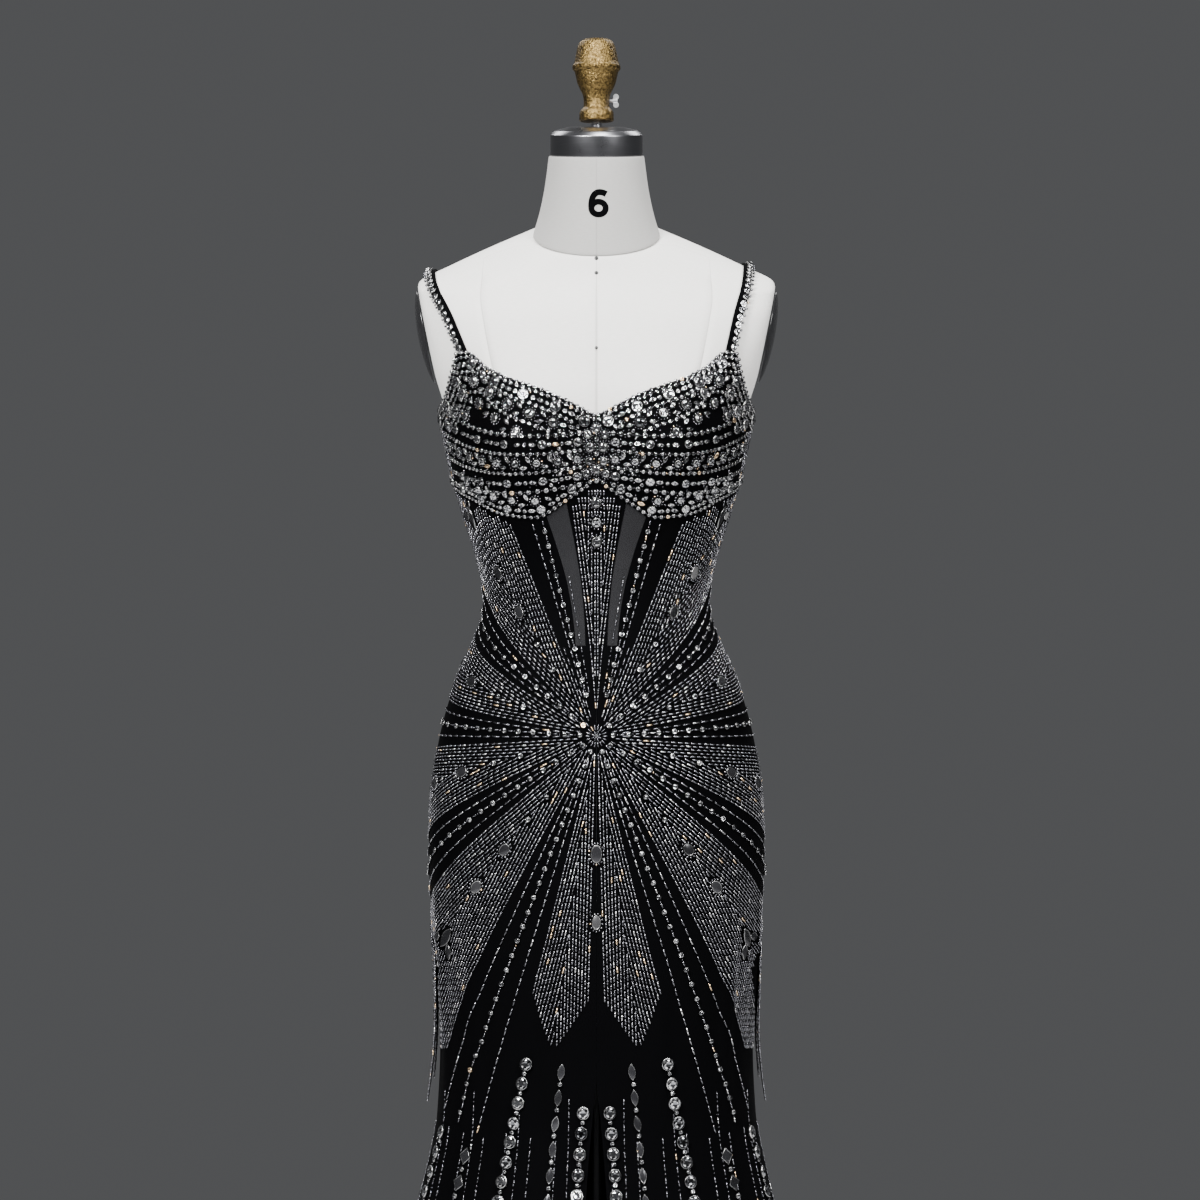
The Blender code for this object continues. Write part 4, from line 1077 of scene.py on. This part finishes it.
FRINGE_CYCLE = 0.0086  # how far one bugle and seed take up with their gaps
ROW, PITCH = 0.0034, 0.0071  # from row to row, and from bugle to bugle
CENTRE = -0.134  # the sunburst's middle, below the waist
LOW_EDGE = HEM - WAIST + 0.004
FRINGE_RISE = 0.040  # how much lower the fringe starts at its two sides than at the side seam
# How far beads keep from the slit, the zip, the back seam below it and the top edges.
MARGINS = {"slit": 0.0016, "zip": 0.0040, "back_seam": 0.0012, "top": 0.0012, "back_top": 0.0225}
ZIP_FOOT = -0.2
STEEPEST = 178.5  # degrees; no ray comes nearer to the middle line below
SIDE_SHARE = 0.997  # the last beads' share of the way to the side seam


class Layout:
    """Beads laid out on a flat quarter of the gown, as arc lengths from its middle and heights."""

    def __init__(self, back):
        self.back = back
        self.rows = []

    def turn(self, arc, height):
        """The angle from the front centre of a place on the quarter."""
        share = arc / FRONT_PLAN.quarter(height)
        return 180 - BACK_PLAN.angle(share, height) if self.back else FRONT_PLAN.angle(share, height)

    def fits(self, arc, height, top, below):
        """Whether places lie on the cloth."""
        inner = slit_open(height) + np.where(height < SLIT_TOP, MARGINS["slit"], 0)
        if self.back:
            inner = np.where(height > ZIP_FOOT, MARGINS["zip"], MARGINS["back_seam"])
        high = top.at(self.turn(arc, height))[0] - below
        return (arc >= inner) & (height < high) & (height > LOW_EDGE)

    def add(self, kind, arc, height, heading, size, top=None, below=MARGINS["top"]):
        """Keeps the beads whose ends both lie on the cloth. A heading is measured from upright."""
        if top is None:
            top, word = (BACK_CURVE, "back_top") if self.back else (UNDERBUST_CURVE, "top")
            below = MARGINS[word]
        arc, height, heading = np.broadcast_arrays(*np.atleast_1d(arc, height, heading))
        share = arc / FRONT_PLAN.quarter(height)
        reach = np.abs(np.abs(90 - self.turn(arc, height)) / FRINGE["half_angle"])
        drop = (FRINGE["top"] - FRINGE_RISE * reach - height) / (FRINGE["top"] - FRINGE["tip"])
        keep = (share < SIDE_SHARE) & ((drop < 0) | (drop > 1 - reach * 0.9))
        for end in (-0.5, 0.5):
            along = end * size[0]
            place = arc + along * np.sin(heading), height + along * np.cos(heading)
            keep &= self.fits(*place, top, below)
        if not self.back:
            keep |= (arc == 0) & (height < top.at(0.0)[0] - size[0] / 2)
        if keep.any():
            kept = [values[keep] for values in (arc, height, heading)]
            self.rows.append([kind, *kept, np.tile(size, (keep.sum(), 1))])

    def clear(self, arc, height, heading, long, wide):
        """Takes off the beads that lie inside an oval."""
        for row in self.rows:
            away, rise = row[1] - arc, row[2] - height
            along = (away * math.sin(heading) + rise * math.cos(heading)) / (long / 2)
            across = (away * math.cos(heading) - rise * math.sin(heading)) / (wide / 2)
            stay = along**2 + across**2 > 1
            row[1:] = [values[stay] for values in row[1:]]

    def string(self, path, pattern, start=0.0, keep=None, wobble=0.0, **kind_of_place):
        """Beads of a pattern along a path of arc lengths and heights."""
        lengths = np.concatenate(([0.0], np.cumsum(np.hypot(*np.diff(path, axis=1)))))
        cycle = sum(long + gap for _, long, _, _, gap in PATTERNS[pattern])
        cycles = int((lengths[-1] - start) / cycle)
        if cycles > 3:
            cycle = (lengths[-1] - start) / cycles
        for kind, long, wide, high, gap in PATTERNS[pattern]:
            at = np.arange(start + long / 2, lengths[-1] - long / 2, cycle)
            start += long + gap
            if len(at) == 0:
                continue
            arc, height = (np.interp(at, lengths, line) for line in path)
            ahead_arc, ahead_height = (np.interp(at + 0.0008, lengths, line) for line in path)
            heading = np.arctan2(ahead_arc - arc, ahead_height - height)
            heading = heading + RANDOM.normal(0, 0.03 + wobble, len(at))
            if keep is not None:
                stay = keep(arc, height)
                arc, height, heading = arc[stay], height[stay], heading[stay]
            if len(arc):
                self.add(kind, arc, height, heading, (long, wide, high), **kind_of_place)

    def gem(self, kind, arc, height, heading, size, ring=None):
        """One large bead, with the ones under it taken off and, if asked, a ring round it."""
        heading = math.radians(heading)
        grow = 1.25 if ring else 1.0
        self.clear(arc, height, heading, size[0] * grow + 0.003, size[1] * grow + 0.003)
        self.add(kind, arc, height, heading, size)
        if ring:
            count = max(8, int(math.pi * (size[0] + size[1]) / 2 * 1.2 / 0.0034))
            turn = np.linspace(0, 2 * math.pi, count, endpoint=False)
            along = np.cos(turn) * (size[0] / 2 + 0.0015)
            across = np.sin(turn) * (size[1] / 2 + 0.0015)
            arcs = arc + along * math.sin(heading) + across * math.cos(heading)
            heights = height + along * math.cos(heading) - across * math.sin(heading)
            self.add(ring, arcs, heights, heading + turn, (0.0024, 0.0024, 0.0022))


def ray(near, far=None, start=0.0, ease=1.0):
    """A ray's heading in degrees from upright, which turns from near to far, if given, as it runs out."""
    far = near if far is None else far
    return lambda reach: np.minimum(far + (near - far) * np.exp(-(reach - start) / ease), STEEPEST)


def ray_path(heading, first, last, aside=0.0):
    """A ray's path from the sunburst's middle, shifted aside by a distance."""
    reach = np.arange(first, last, 0.001)
    turn = np.radians(heading(reach)) + aside / reach
    return np.stack((reach * np.sin(turn), CENTRE + reach * np.cos(turn)))


def fill(layout, upper, lower, first, last, point=0.0):
    """Rows of bugles parallel to a band's two edges, which meet along its middle.

    The rows grow longer from the edges inwards by a distance in all, so that the band ends in a point.
    """
    reach = np.arange(first, last, 0.001)
    widest = np.max(np.radians(lower(reach) - upper(reach)) * reach)
    for row in range(1 + int(widest / 2 / ROW)):
        inset = (row + 0.4) * ROW
        for edge, sign in ((upper, 1), (lower, -1)):
            spare = 0.25 * sign * ROW

            def inside(arc, height):
                out = np.hypot(arc, height - CENTRE)
                return inset + spare <= np.radians(lower(out) - upper(out)) * out / 2

            shorter = point * max(0.0, 1 - 2.2 * inset / widest)
            path = ray_path(edge, first, last - shorter, sign * inset)
            start = RANDOM.uniform(0, PITCH)
            layout.string(path, "row", start, inside)


# The sunburst: wedges filled with bugles at even steps of heading, with straight strings between.
TO_CUPS = 0.262  # from the sunburst's middle up to the cups
WEDGE = {"first": 33, "step": 36, "half": 11}
# From the uppermost wedge down. Columns: how far it reaches, how far it draws out to a point.
WEDGE_ENDS = ((0.430, 0.0), (0.260, 0.0), (0.330, 0.0), (0.420, 0.050), (0.320, 0.050))
GAP_ENDS = (TO_CUPS, 0.250, 0.330, 0.430)  # how far the strings between two wedges reach
# Strings in each gap. Columns: pattern, degrees aside from the gap's middle, first reach.
GAP_STRINGS = (("dash", -3.8, 0.026), ("stones", 0.0, 0.014), ("dash", 3.8, 0.026))
# Strings along the sheer wedge's outer seam. Columns: pattern, heading, first and last reach.
SEAM_STRINGS = (
    ("stones", 13.9, 0.040, TO_CUPS), ("dash", 16.6, 0.020, TO_CUPS), ("dash", 20.3, 0.032, 0.100),
)
# Strings of gems below the wedges, in the same columns.
GEM_STRINGS = (
    ("leaves", 174, 0.335, 0.520), ("rounds", 168, 0.335, 0.520),
    ("lozenges", 162, 0.445, 0.560), ("rounds", 156, 0.445, 0.560),
)
# Strings that hang to the hem, at even shares of the way to the side seam. Each fourth is under gems.
HEM_SHARES = np.arange(0.065, 0.99, 0.055)
HEM_TOPS = (-0.540, -0.500, -0.540, -0.670)
# Rings of bugles round the sunburst's middle. Columns: reach, bead length, headings.
MIDDLE_RINGS = ((0.0036, 0.0036, (22.5, 180, 45)), (0.0088, 0.0050, (10, 180, 20)))
# Ovals on the middle line. Columns: how far below the sunburst's middle, size.
MIDDLE_OVALS = ((0.120, (0.0190, 0.0120, 0.0020)), (0.190, (0.0150, 0.0095, 0.0018)))
# Gems along a wedge's middle. Columns: kind, reach, size, ring.
GEM_STONE, SIDE_LEAF = (0.0056, 0.0056, 0.0034), (0.0170, 0.0090, 0.0018)
WEDGE_GEMS = (
    ("stone", 0.080, GEM_STONE, None), ("stone", 0.110, GEM_STONE, None),
    ("oval", 0.150, (0.0140, 0.0105, 0.0018), "seed"), ("oval", 0.200, (0.0150, 0.0110, 0.0018), "seed"),
)
# A plain sprig of three leaves further out. Columns: lean in degrees, how far off, size.
SPRIG = ((0, 0.0, (0.0260, 0.0130, 0.0020)), (52, 0.0150, SIDE_LEAF), (-52, 0.0150, SIDE_LEAF))
SPRIG_REACH = 0.270


def lay_sunburst(layout):
    for k, (last, point) in enumerate(WEDGE_ENDS):
        middle = WEDGE["first"] + k * WEDGE["step"]
        fill(layout, ray(middle - WEDGE["half"]), ray(middle + WEDGE["half"]), 0.012, last, point)
    for k, last in enumerate(GAP_ENDS):
        middle = WEDGE["first"] + (k + 0.5) * WEDGE["step"]
        for pattern, aside, first in GAP_STRINGS:
            layout.string(ray_path(ray(middle + aside), first, last), pattern)
    for pattern, heading, first, last in SEAM_STRINGS:
        layout.string(ray_path(ray(heading), first, last), pattern)
    if layout.back:
        for heading in (3.5, 7.0, 10.0):
            layout.string(ray_path(ray(heading), 0.05 + 0.01 * heading, 0.27), "dash")
    else:
        fill(layout, ray(0), ray(4.2, 9.0, 0.05, 0.35), 0.022, TO_CUPS)
        layout.string(ray_path(ray(9.6), 0.045, 0.170), "fine")
    for reach, long, headings in MIDDLE_RINGS:
        turn = np.radians(np.arange(*headings))
        places = reach * np.sin(turn), CENTRE + reach * np.cos(turn)
        layout.add("bugle", *places, turn, (long, 0.0016, 0.0016))
    layout.add("stone", 0.0, CENTRE, 0.0, (0.0036, 0.0036, 0.0030))


def lay_gems(layout):
    """The larger stones and mirrors, each set in a place cleared of bugles."""
    for pattern, heading, first, last in GEM_STRINGS:
        layout.string(ray_path(ray(heading), first, last), pattern, wobble=0.02)
    for drop, size in MIDDLE_OVALS:
        layout.gem("oval", 0.0, CENTRE - drop, 180, size, "seed")
    if not layout.back:
        for height in (0.105, 0.085, 0.065):
            layout.gem("round", 0.0, height, 0, (0.0110, 0.0104, 0.0046), "seed")
    for k in range(len(WEDGE_ENDS) - 1):
        heading = WEDGE["first"] + k * WEDGE["step"]
        turn = math.radians(heading)
        way = np.array((math.sin(turn), math.cos(turn)))
        for kind, reach, size, ring in WEDGE_GEMS:
            arc, height = reach * way + (0, CENTRE)
            layout.gem(kind, arc, height, heading, size, ring)
        for lean, away, size in SPRIG:
            bend = turn + math.radians(lean)
            aside = away * np.array((math.sin(bend), math.cos(bend)))
            arc, height = SPRIG_REACH * way + (0, CENTRE) + aside
            layout.gem("leaf", arc, height, heading + lean * 0.9, size)


def lay_lower_strings(layout):
    """Strings that hang to the hem, and the round stones beside the slit."""
    height = np.arange(-0.510, -0.700, -0.002)
    layout.string(np.stack((slit_open(height) + 0.0098, height)), "rounds")
    for k, share in enumerate(HEM_SHARES):
        height = np.arange(HEM_TOPS[k % 4], LOW_EDGE, -0.004)
        path = np.stack((share * FRONT_PLAN.quarter(height), height))
        layout.string(path, "fine", 0.003 * (k % 3))


def edge_line(curve, first, last, drop):
    """A line along a curve of heights, a distance below it."""
    angle = np.linspace(first, last, 160)
    height = curve.at(angle)[0] - drop
    return np.stack((FRONT_PLAN.arc(angle, height), height))


# Lines of beads along the cup's edges. Columns: first and last angle, how far below the edge, the
# pattern, and its wobble, or the pitch and size of rosettes.
NECKLINE_ROWS = (
    (0.2, 89.9, 0.0056, "small_trim", 0.2), (1.5, 89.9, 0.0130, "big_sprigs", 0.0),
    (6.0, 89.9, 0.0204, "small_trim", 0.0), (11.0, 70, 0.0305, "rosettes", (0.0240, 0.0102)),
    (14.0, 62, 0.0415, "small_trim", 0.1), (24.0, 55, 0.0540, "rosettes", (0.0270, 0.0086)),
)
UNDERBUST_ROWS = (
    (2.0, 89.9, -0.0034, "small_trim", 0.2), (6.0, 89.9, -0.0098, "sprigs", 0.1),
    (20.0, 66, -0.0200, "rosettes", (0.0230, 0.0080)),
)
# Swags over the cup at even steps, from the top down, and where the first and last hang.
SWAGS = (
    ("close", 0.06), ("sprigs", 0.06), ("small_trim", 0.06), ("rosettes", (0.0210, 0.0080)),
    ("small_trim", 0.06), ("sprigs", 0.06), ("close", 0.06),
)
SWAG_ENDS = {"arc": 0.016, "angle": 75, "sag": 0.0085}
SWAG_HEIGHTS = {"middle": (0.1755, 0.1240), "side": (0.2060, 0.1280)}
# Rosettes beside the middle of the bust. Columns: arc, height, size.
MIDDLE_ROSETTES = (
    (0.0, 0.1800, 0.0090), (0.0098, 0.1735, 0.0086), (0.0076, 0.1610, 0.0100), (0.0084, 0.1470, 0.0084),
    (0.0, 0.1385, 0.0094), (0.0112, 0.1345, 0.0082),
)
MIDDLE_STONES = (0.1690, 0.1545, 0.1275)  # heights
# Beads strewn over what is still bare. Columns: kind, size, tries, reach.
STREWN = (
    ("marquise", (0.0080, 0.0042, 0.0032), 400, 0.050), ("stone", (0.0042, 0.0042, 0.0030), 600, 0.055),
    ("seed", (0.0021, 0.0021, 0.0020), 400, 0.070),
)
# Beads between two rosettes. Columns: kind, lean, how far up or down, size.
BETWEEN_ROSETTES = tuple(
    (kind, sign * lean, away, size)
    for kind, lean, away, size in (
        ("marquise", 0.5, 0.5, (0.0084, 0.0042, 0.0032)), ("bugle", 0.9, 0.95, (0.0050, 0.0016, 0.0016)),
    )
    for sign in (1, -1)
)
EDGE_SHARE = 0.846  # from here to the side seam the cup is filled with upright rows


def swag(arc, height, angle, side_height, sag):
    """A line that hangs from the middle of the bust to its side."""
    share = np.linspace(0, 1, 120)
    across = arc + (FRONT_PLAN.arc(angle, side_height) - arc) * share
    rise = (side_height - height) * share**2
    return np.stack((across, height + rise - sag * np.sin(np.pi * share)))


def rosette(layout, arc, height, size):
    """A round stone ringed with seed beads."""
    layout.add("round", arc, height, 30 * arc, (size, size * 0.94, 0.0046), NECKLINE_CURVE)
    count = int(math.pi * (size + 0.0028) / 0.0030)
    turn = np.linspace(0, 2 * np.pi, count, endpoint=False)
    ring = size / 2 + 0.0013
    places = arc + ring * np.sin(turn), height + ring * np.cos(turn)
    layout.add("seed", *places, turn, (0.0021, 0.0021, 0.0020), NECKLINE_CURVE)


def rosettes(layout, path, pitch, size):
    """Rosettes along a path, and between them a pair of pointed stones with bugles beside them."""
    lengths = np.concatenate(([0.0], np.cumsum(np.hypot(*np.diff(path, axis=1)))))
    for k, at in enumerate(np.arange(pitch / 4, lengths[-1], pitch / 2)):
        arc, height = (float(np.interp(at, lengths, line)) for line in path)
        if k % 2 == 0:
            rosette(layout, arc, height, size)
            continue
        for kind, lean, away, bead in BETWEEN_ROSETTES:
            place = arc + 0.004 * lean, height - 0.0075 * away * math.copysign(1, lean)
            layout.add(kind, *place, 1.1 + lean, bead, NECKLINE_CURVE)


def strew(layout, kind, size, tries, reach):
    """Beads strewn over what is still bare of the cups, most of them near the middle."""
    taken = np.concatenate([
        np.column_stack((arc, height, sizes[:, :2].mean(axis=1) / 2))
        for _, arc, height, _, sizes in layout.rows
    ])
    arcs = 0.003 + reach * RANDOM.random(tries) ** 1.5
    angles = FRONT_PLAN.angle(arcs / FRONT_PLAN.quarter(0.15), np.full(tries, 0.15))
    low, high = (curve.at(angles)[0] for curve in (UNDERBUST_CURVE, NECKLINE_CURVE))
    heights = low + 0.004 + (high - low - 0.006) * RANDOM.random(tries)
    leans = RANDOM.uniform(0.6, 2.4, tries)
    own = (size[0] + size[1]) / 4
    for arc, height, lean in zip(arcs, heights, leans):
        away = np.hypot(taken[:, 0] - arc, taken[:, 1] - height) - taken[:, 2]
        if away.min() > own:
            layout.add(kind, arc, height, lean, size, NECKLINE_CURVE)
            taken = np.vstack((taken, (arc, height, own)))


def lay_line(layout, path, pattern, detail):
    """A string of a pattern with a wobble, or rosettes with a pitch and size."""
    if pattern == "rosettes":
        rosettes(layout, path, *detail)
    else:
        layout.string(path, pattern, wobble=detail, top=NECKLINE_CURVE)


def lay_cups(layout):
    trim = edge_line(NECKLINE_CURVE, 0.2, 89.9, 0.0010)
    layout.string(trim, "small_trim", top=NECKLINE_CURVE, below=-0.003)
    for first, last, drop, *line in NECKLINE_ROWS:
        lay_line(layout, edge_line(NECKLINE_CURVE, first, last, drop), *line)
    heights = (np.linspace(*SWAG_HEIGHTS[end], len(SWAGS)) for end in ("middle", "side"))
    for line, middle, side in zip(SWAGS, *heights):
        path = swag(SWAG_ENDS["arc"], middle, SWAG_ENDS["angle"], side, SWAG_ENDS["sag"])
        lay_line(layout, path, *line)
    for first, last, drop, *line in UNDERBUST_ROWS:
        lay_line(layout, edge_line(UNDERBUST_CURVE, first, last, drop), *line)
    for arc, height, size in MIDDLE_ROSETTES:
        rosette(layout, arc, height, size)
    for height in MIDDLE_STONES:
        layout.add("stone", 0.0, height, 0.3, (0.0056, 0.0056, 0.0036), NECKLINE_CURVE)
    for kind, size, tries, reach in STREWN:
        strew(layout, kind, size, tries, reach)
    # The cup's outer side is filled with bugles that lean this way and that.
    for share in np.arange(EDGE_SHARE, 0.993, 0.0146):
        top, foot = (curve.at(90 * share)[0] for curve in (NECKLINE_CURVE, UNDERBUST_CURVE))
        height = np.linspace(top - 0.0215, foot + 0.0135, 60)
        path = np.stack((share * FRONT_PLAN.quarter(height), height))
        layout.string(path, "row", RANDOM.uniform(0, PITCH), wobble=0.12, top=NECKLINE_CURVE)


def lay_back_edge(layout):
    """The back's top edge: a trim and two rows below it."""
    angle = np.linspace(1.0, 89.9, 160)
    edge = BACK_CURVE.at(180 - angle)[0]
    for drop, pattern in ((0.0045, "trim"), (0.0100, "small_trim"), (0.0168, "sprigs")):
        height = edge - drop
        share = BACK_PLAN.arc(angle, height) / BACK_PLAN.quarter(height)
        path = np.stack((share * FRONT_PLAN.quarter(height), height))
        layout.string(path, pattern, top=BACK_CURVE)


def cloth_under(turn, height, word):
    """The names of the cloth pieces at angles from the front centre and heights."""
    names = np.full(len(turn), f"skirt_front_{word}", dtype=object)
    back, bodice = turn > 90, height > WAIST_SEAM
    names[back] = f"skirt_back_{word}"
    names[back & bodice] = f"bodice_back_{word}"
    front = bodice & ~back
    names[front] = f"bodice_side_{word}"
    for piece, (top, foot) in zip((f"bodice_sheer_{word}", "bodice_centre_front"), SHEER_FRONT[::-1]):
        high = UNDERBUST_CURVE.at(top)[0]
        edge = foot + (top - foot) * (height - WAIST_SEAM) / (high - WAIST_SEAM)
        names[front & (turn < edge)] = piece
    names[front & (height > UNDERBUST_CURVE.at(turn)[0])] = f"cup_{word}"
    return names


def sew(layout, word, side):
    """Puts a quarter's beads on the gown, the right way round for its side."""
    for kind, arc, height, heading, size in layout.rows:
        if side < 0:  # the beads on the middle line are sewn once
            once = arc > 0
            arc, height, heading, size = arc[once], height[once], heading[once], size[once]
        if len(arc) == 0:
            continue
        turn = layout.turn(arc, height)
        step = 0.0008
        ahead_height = height + step * np.cos(heading)
        ahead_turn = layout.turn(np.maximum(arc + step * np.sin(heading), 0), ahead_height)
        centres = figure(side * turn, height)
        along = figure(side * ahead_turn, ahead_height) - centres
        normals = outward(side * turn, height)
        names = cloth_under(turn, height, word)
        seat = FACE - (CLOTH - NET) * np.array([name.startswith("bodice_sheer") for name in names])
        seat = seat + (size[:, 2] / 2 if kind in ("bugle", "seed") else 0.0)
        centres = centres + normals * seat[:, None]
        for name in sorted(set(names)):
            own = names == name
            BEADS.add(f"beads_{name}", kind, centres[own], along[own], normals[own], size[own])


def hang_fringe(word, side):
    """Two layers of bead strings that hang clear of the skirt in a point at the hip."""
    drop = FRINGE["top"] - FRINGE["tip"]
    for reach, hang, edge, strings in ((1.0, 1.0, 0.97, 33), (0.85, 0.5, 0.94, 32)):
        for offset in np.linspace(-edge, edge, strings):
            length = reach * drop * (1 - abs(offset) ** 1.2) + 0.004
            first = FRINGE_RISE * abs(offset) + RANDOM.uniform(0, 0.006)
            start = 0.0
            for kind, long, wide, high, gap in PATTERNS["fringe"]:
                down = np.arange(first + start + long / 2, min(length, drop) - long / 2, FRINGE_CYCLE)
                start += long + gap
                if len(down) == 0:
                    continue
                turn = np.full(len(down), side * (90 + offset * FRINGE["half_angle"]))
                away = hang * FRINGE["hang"] * (down / drop) ** 1.5
                off = FACE + 0.0004 + away + FRINGE["thick"] / 2
                height = FRINGE["top"] - down
                centres = lifted(turn, height, off)
                along = lifted(turn, height - 0.001, off + 0.0001) - centres
                size = np.tile((long, wide, high), (len(down), 1))
                BEADS.add(f"beads_fringe_{word}", kind, centres, along, outward(turn, height), size)


# ---------------------------------------------------------------- the straps
STRAP_PITCH = 0.0084
# The strap's beads. Columns: first place, how far aside, how far up, size.
STRAP_BEADS = {
    "round": (0.0, 0.0016, STRAP_THICKNESS, (0.0074, 0.0068, 0.0040)),
    "seed": (STRAP_PITCH / 2, 0.0062, 0.0026, (0.0030, 0.0030, 0.0026)),
}


def strap_frames(side, shoulder, steps=46):
    """Points along a strap from the cup to the back, with the ways ahead, off and across it."""
    search = np.arange(STRAP_CREST["low"], STRAP_CREST["high"], STRAP_CREST["step"])
    crest = search[FORM.at(search)[0] < shoulder + STRAP_CREST["inside"]][0]
    share = np.linspace(0, 1, steps, endpoint=False)
    turns, heights = [], []
    for ends, back in ((STRAP_AT_CUP, False), (STRAP_AT_BACK, True)):
        start = ends["height"] + 2 * SEAM
        height = start + (crest - start) * (1 - (1 - share) ** 2)
        across = ends["across"] + (shoulder - ends["across"]) * (height - start) / (crest - start)
        turns.append(angle_across(side * across, height, back))
        heights.append(height)
    turn = np.concatenate((turns[0], [side * 90.0], turns[1][::-1]))
    height = np.concatenate((heights[0], [crest], heights[1][::-1]))
    points = figure(turn, height, FORM)
    ahead = unit(np.gradient(points, axis=0))
    normals = outward(turn, height, FORM)
    normals = unit(normals - ahead * np.sum(ahead * normals, axis=1, keepdims=True))
    return points, ahead, normals, np.cross(ahead, normals)


def make_strap(word, side):
    points, ahead, normals, across = strap_frames(side, STRAP_SHOULDERS[word])
    shares = np.linspace(-1, 1, 7)
    offsets = across[:, None, :] * (shares * STRAP_WIDTH / 2)[:, None]
    for end in (0, -1):  # an end is cut level, to meet the edge it is sewn to
        offsets[end] -= ahead[end] * (offsets[end][:, 2:] / ahead[end][2])
    crown = STRAP_THICKNESS * (1 - 0.35 * shares**4)
    inner = points[:, None, :] + offsets + normals[:, None, :] * EASE
    outer = points[:, None, :] + offsets + normals[:, None, :] * (EASE + crown)[:, None]
    lengths = np.concatenate(([0.0], np.cumsum(np.linalg.norm(np.diff(points, axis=0), axis=1))))
    places = np.stack(np.broadcast_arrays(shares * STRAP_WIDTH / 2, lengths[:, None]), axis=-1)
    made = wall(f"strap_{word}_band", inner, outer, places, STRAP_BAND, (f"strap_{word}",))
    at = np.arange(0.0050, lengths[-1] - 0.004, STRAP_PITCH)
    for kind, (start, shift, lift, size) in STRAP_BEADS.items():
        centre, way, normal, aside = (
            np.stack([np.interp(at + start, lengths, field[:, k]) for k in range(3)], axis=1)
            for field in (points, ahead, normals, across)
        )
        centre = centre + unit(aside) * side * shift + unit(normal) * (EASE + lift)
        BEADS.add(f"beads_strap_{word}", kind, centre, way, normal, np.tile(size, (len(centre), 1)))
    return made


# ---------------------------------------------------------------- pin heads on the linen
PINS = ((0.3850, 0.0021), (0.3690, 0.0021), (0.2632, 0.0018))
PIN_HEAD = ((0.45, 1.0, 0, 0, 0), (0.80, 0.75, 0, 0, 0), (1.0, 0.25, 0, 0, 0), (0.96, 0.0, 0, 0, 0))


def make_pins():
    """Black pin heads on the form's centre line."""
    shape = bead_shape(outline(16), PIN_HEAD, 0)
    points, loops, sizes = [], [], []
    for k, (height, radius) in enumerate(PINS):
        middle, normal = figure(0.0, height, FORM), outward(0.0, height, FORM)
        across = np.array((1.0, 0.0, 0.0))
        frames = np.stack((across * 2 * radius, np.cross(normal, across) * 2 * radius, normal * 0.0007))
        points.append(shape["points"] @ frames + middle)
        loops.append(shape["loops"] + k * len(shape["points"]))
        sizes.append(shape["sizes"])
    mesh = mesh_of("pin_heads", np.concatenate(points), np.concatenate(loops), np.concatenate(sizes))
    return link("pin_heads", mesh, (BLACK_METAL,))


# ---------------------------------------------------------------- the whole
def make_beads():
    front, back = Layout(back=False), Layout(back=True)
    for layout in (front, back):
        lay_sunburst(layout)
        lay_gems(layout)
        lay_lower_strings(layout)
    lay_cups(front)
    lay_back_edge(back)
    for word, side in SIDES.items():
        for layout in (front, back):
            sew(layout, word, side)
        hang_fringe(word, side)
    return {
        name: BEADS.make(name, [f"fringe_{name[13:]}"] if name.startswith("beads_fringe") else ())
        for name in sorted(BEADS.rows)
    }


def area_light(name, place, size, power):
    light = bpy.data.lights.new(name, "AREA")
    light.shape = "DISK"
    light.size = size
    light.energy = power
    lamp = bpy.data.objects.new(name, light)
    lamp.location = place
    lamp.rotation_euler = (Vector((0, 0, WAIST)) - lamp.location).to_track_quat("-Z", "Y").to_euler()
    bpy.context.scene.collection.objects.link(lamp)


def make_stage():
    """The camera, the floor and plain soft studio light."""
    lens = bpy.data.cameras.new("camera")
    lens.sensor_width = 36.0
    lens.lens = 114.3
    camera = bpy.data.objects.new("camera", lens)
    camera.location = (0.0037, -4.0, 1.065)
    camera.rotation_euler = (math.pi / 2, 0, 0)
    bpy.context.scene.collection.objects.link(camera)
    bpy.context.scene.camera = camera
    turn = np.linspace(0, 2 * np.pi, 96, endpoint=False)
    disc = np.stack((2.6 * np.cos(turn), 2.6 * np.sin(turn), np.zeros(96)), axis=1)
    floor = bpy.data.objects.new("floor", mesh_of("floor", disc, np.arange(96), [96]))
    floor.data.materials.append(floor_finish())
    bpy.context.scene.collection.objects.link(floor)
    world = bpy.data.worlds.new("studio")
    world.use_nodes = True
    world.node_tree.nodes["Background"].inputs["Color"].default_value = (0.55, 0.56, 0.58, 1)
    world.node_tree.nodes["Background"].inputs["Strength"].default_value = 0.16
    bpy.context.scene.world = world
    area_light("key", (-1.2, -2.2, 2.85), 0.9, 180)
    area_light("fill", (1.7, -2.1, 2.7), 1.2, 98)
    area_light("top", (0.3, -0.8, 3.6), 0.9, 60)
    area_light("back_left", (-1.5, 2.0, 3.6), 1.2, 34)
    area_light("back_right", (1.5, 2.0, 3.6), 1.2, 34)


make_stage()
make_form()
CLOTH_PIECES = make_cloth()
for strap_word, strap_side in SIDES.items():
    CLOTH_PIECES[f"strap_{strap_word}"] = make_strap(strap_word, strap_side)
make_pins()
BEAD_PIECES = make_beads()
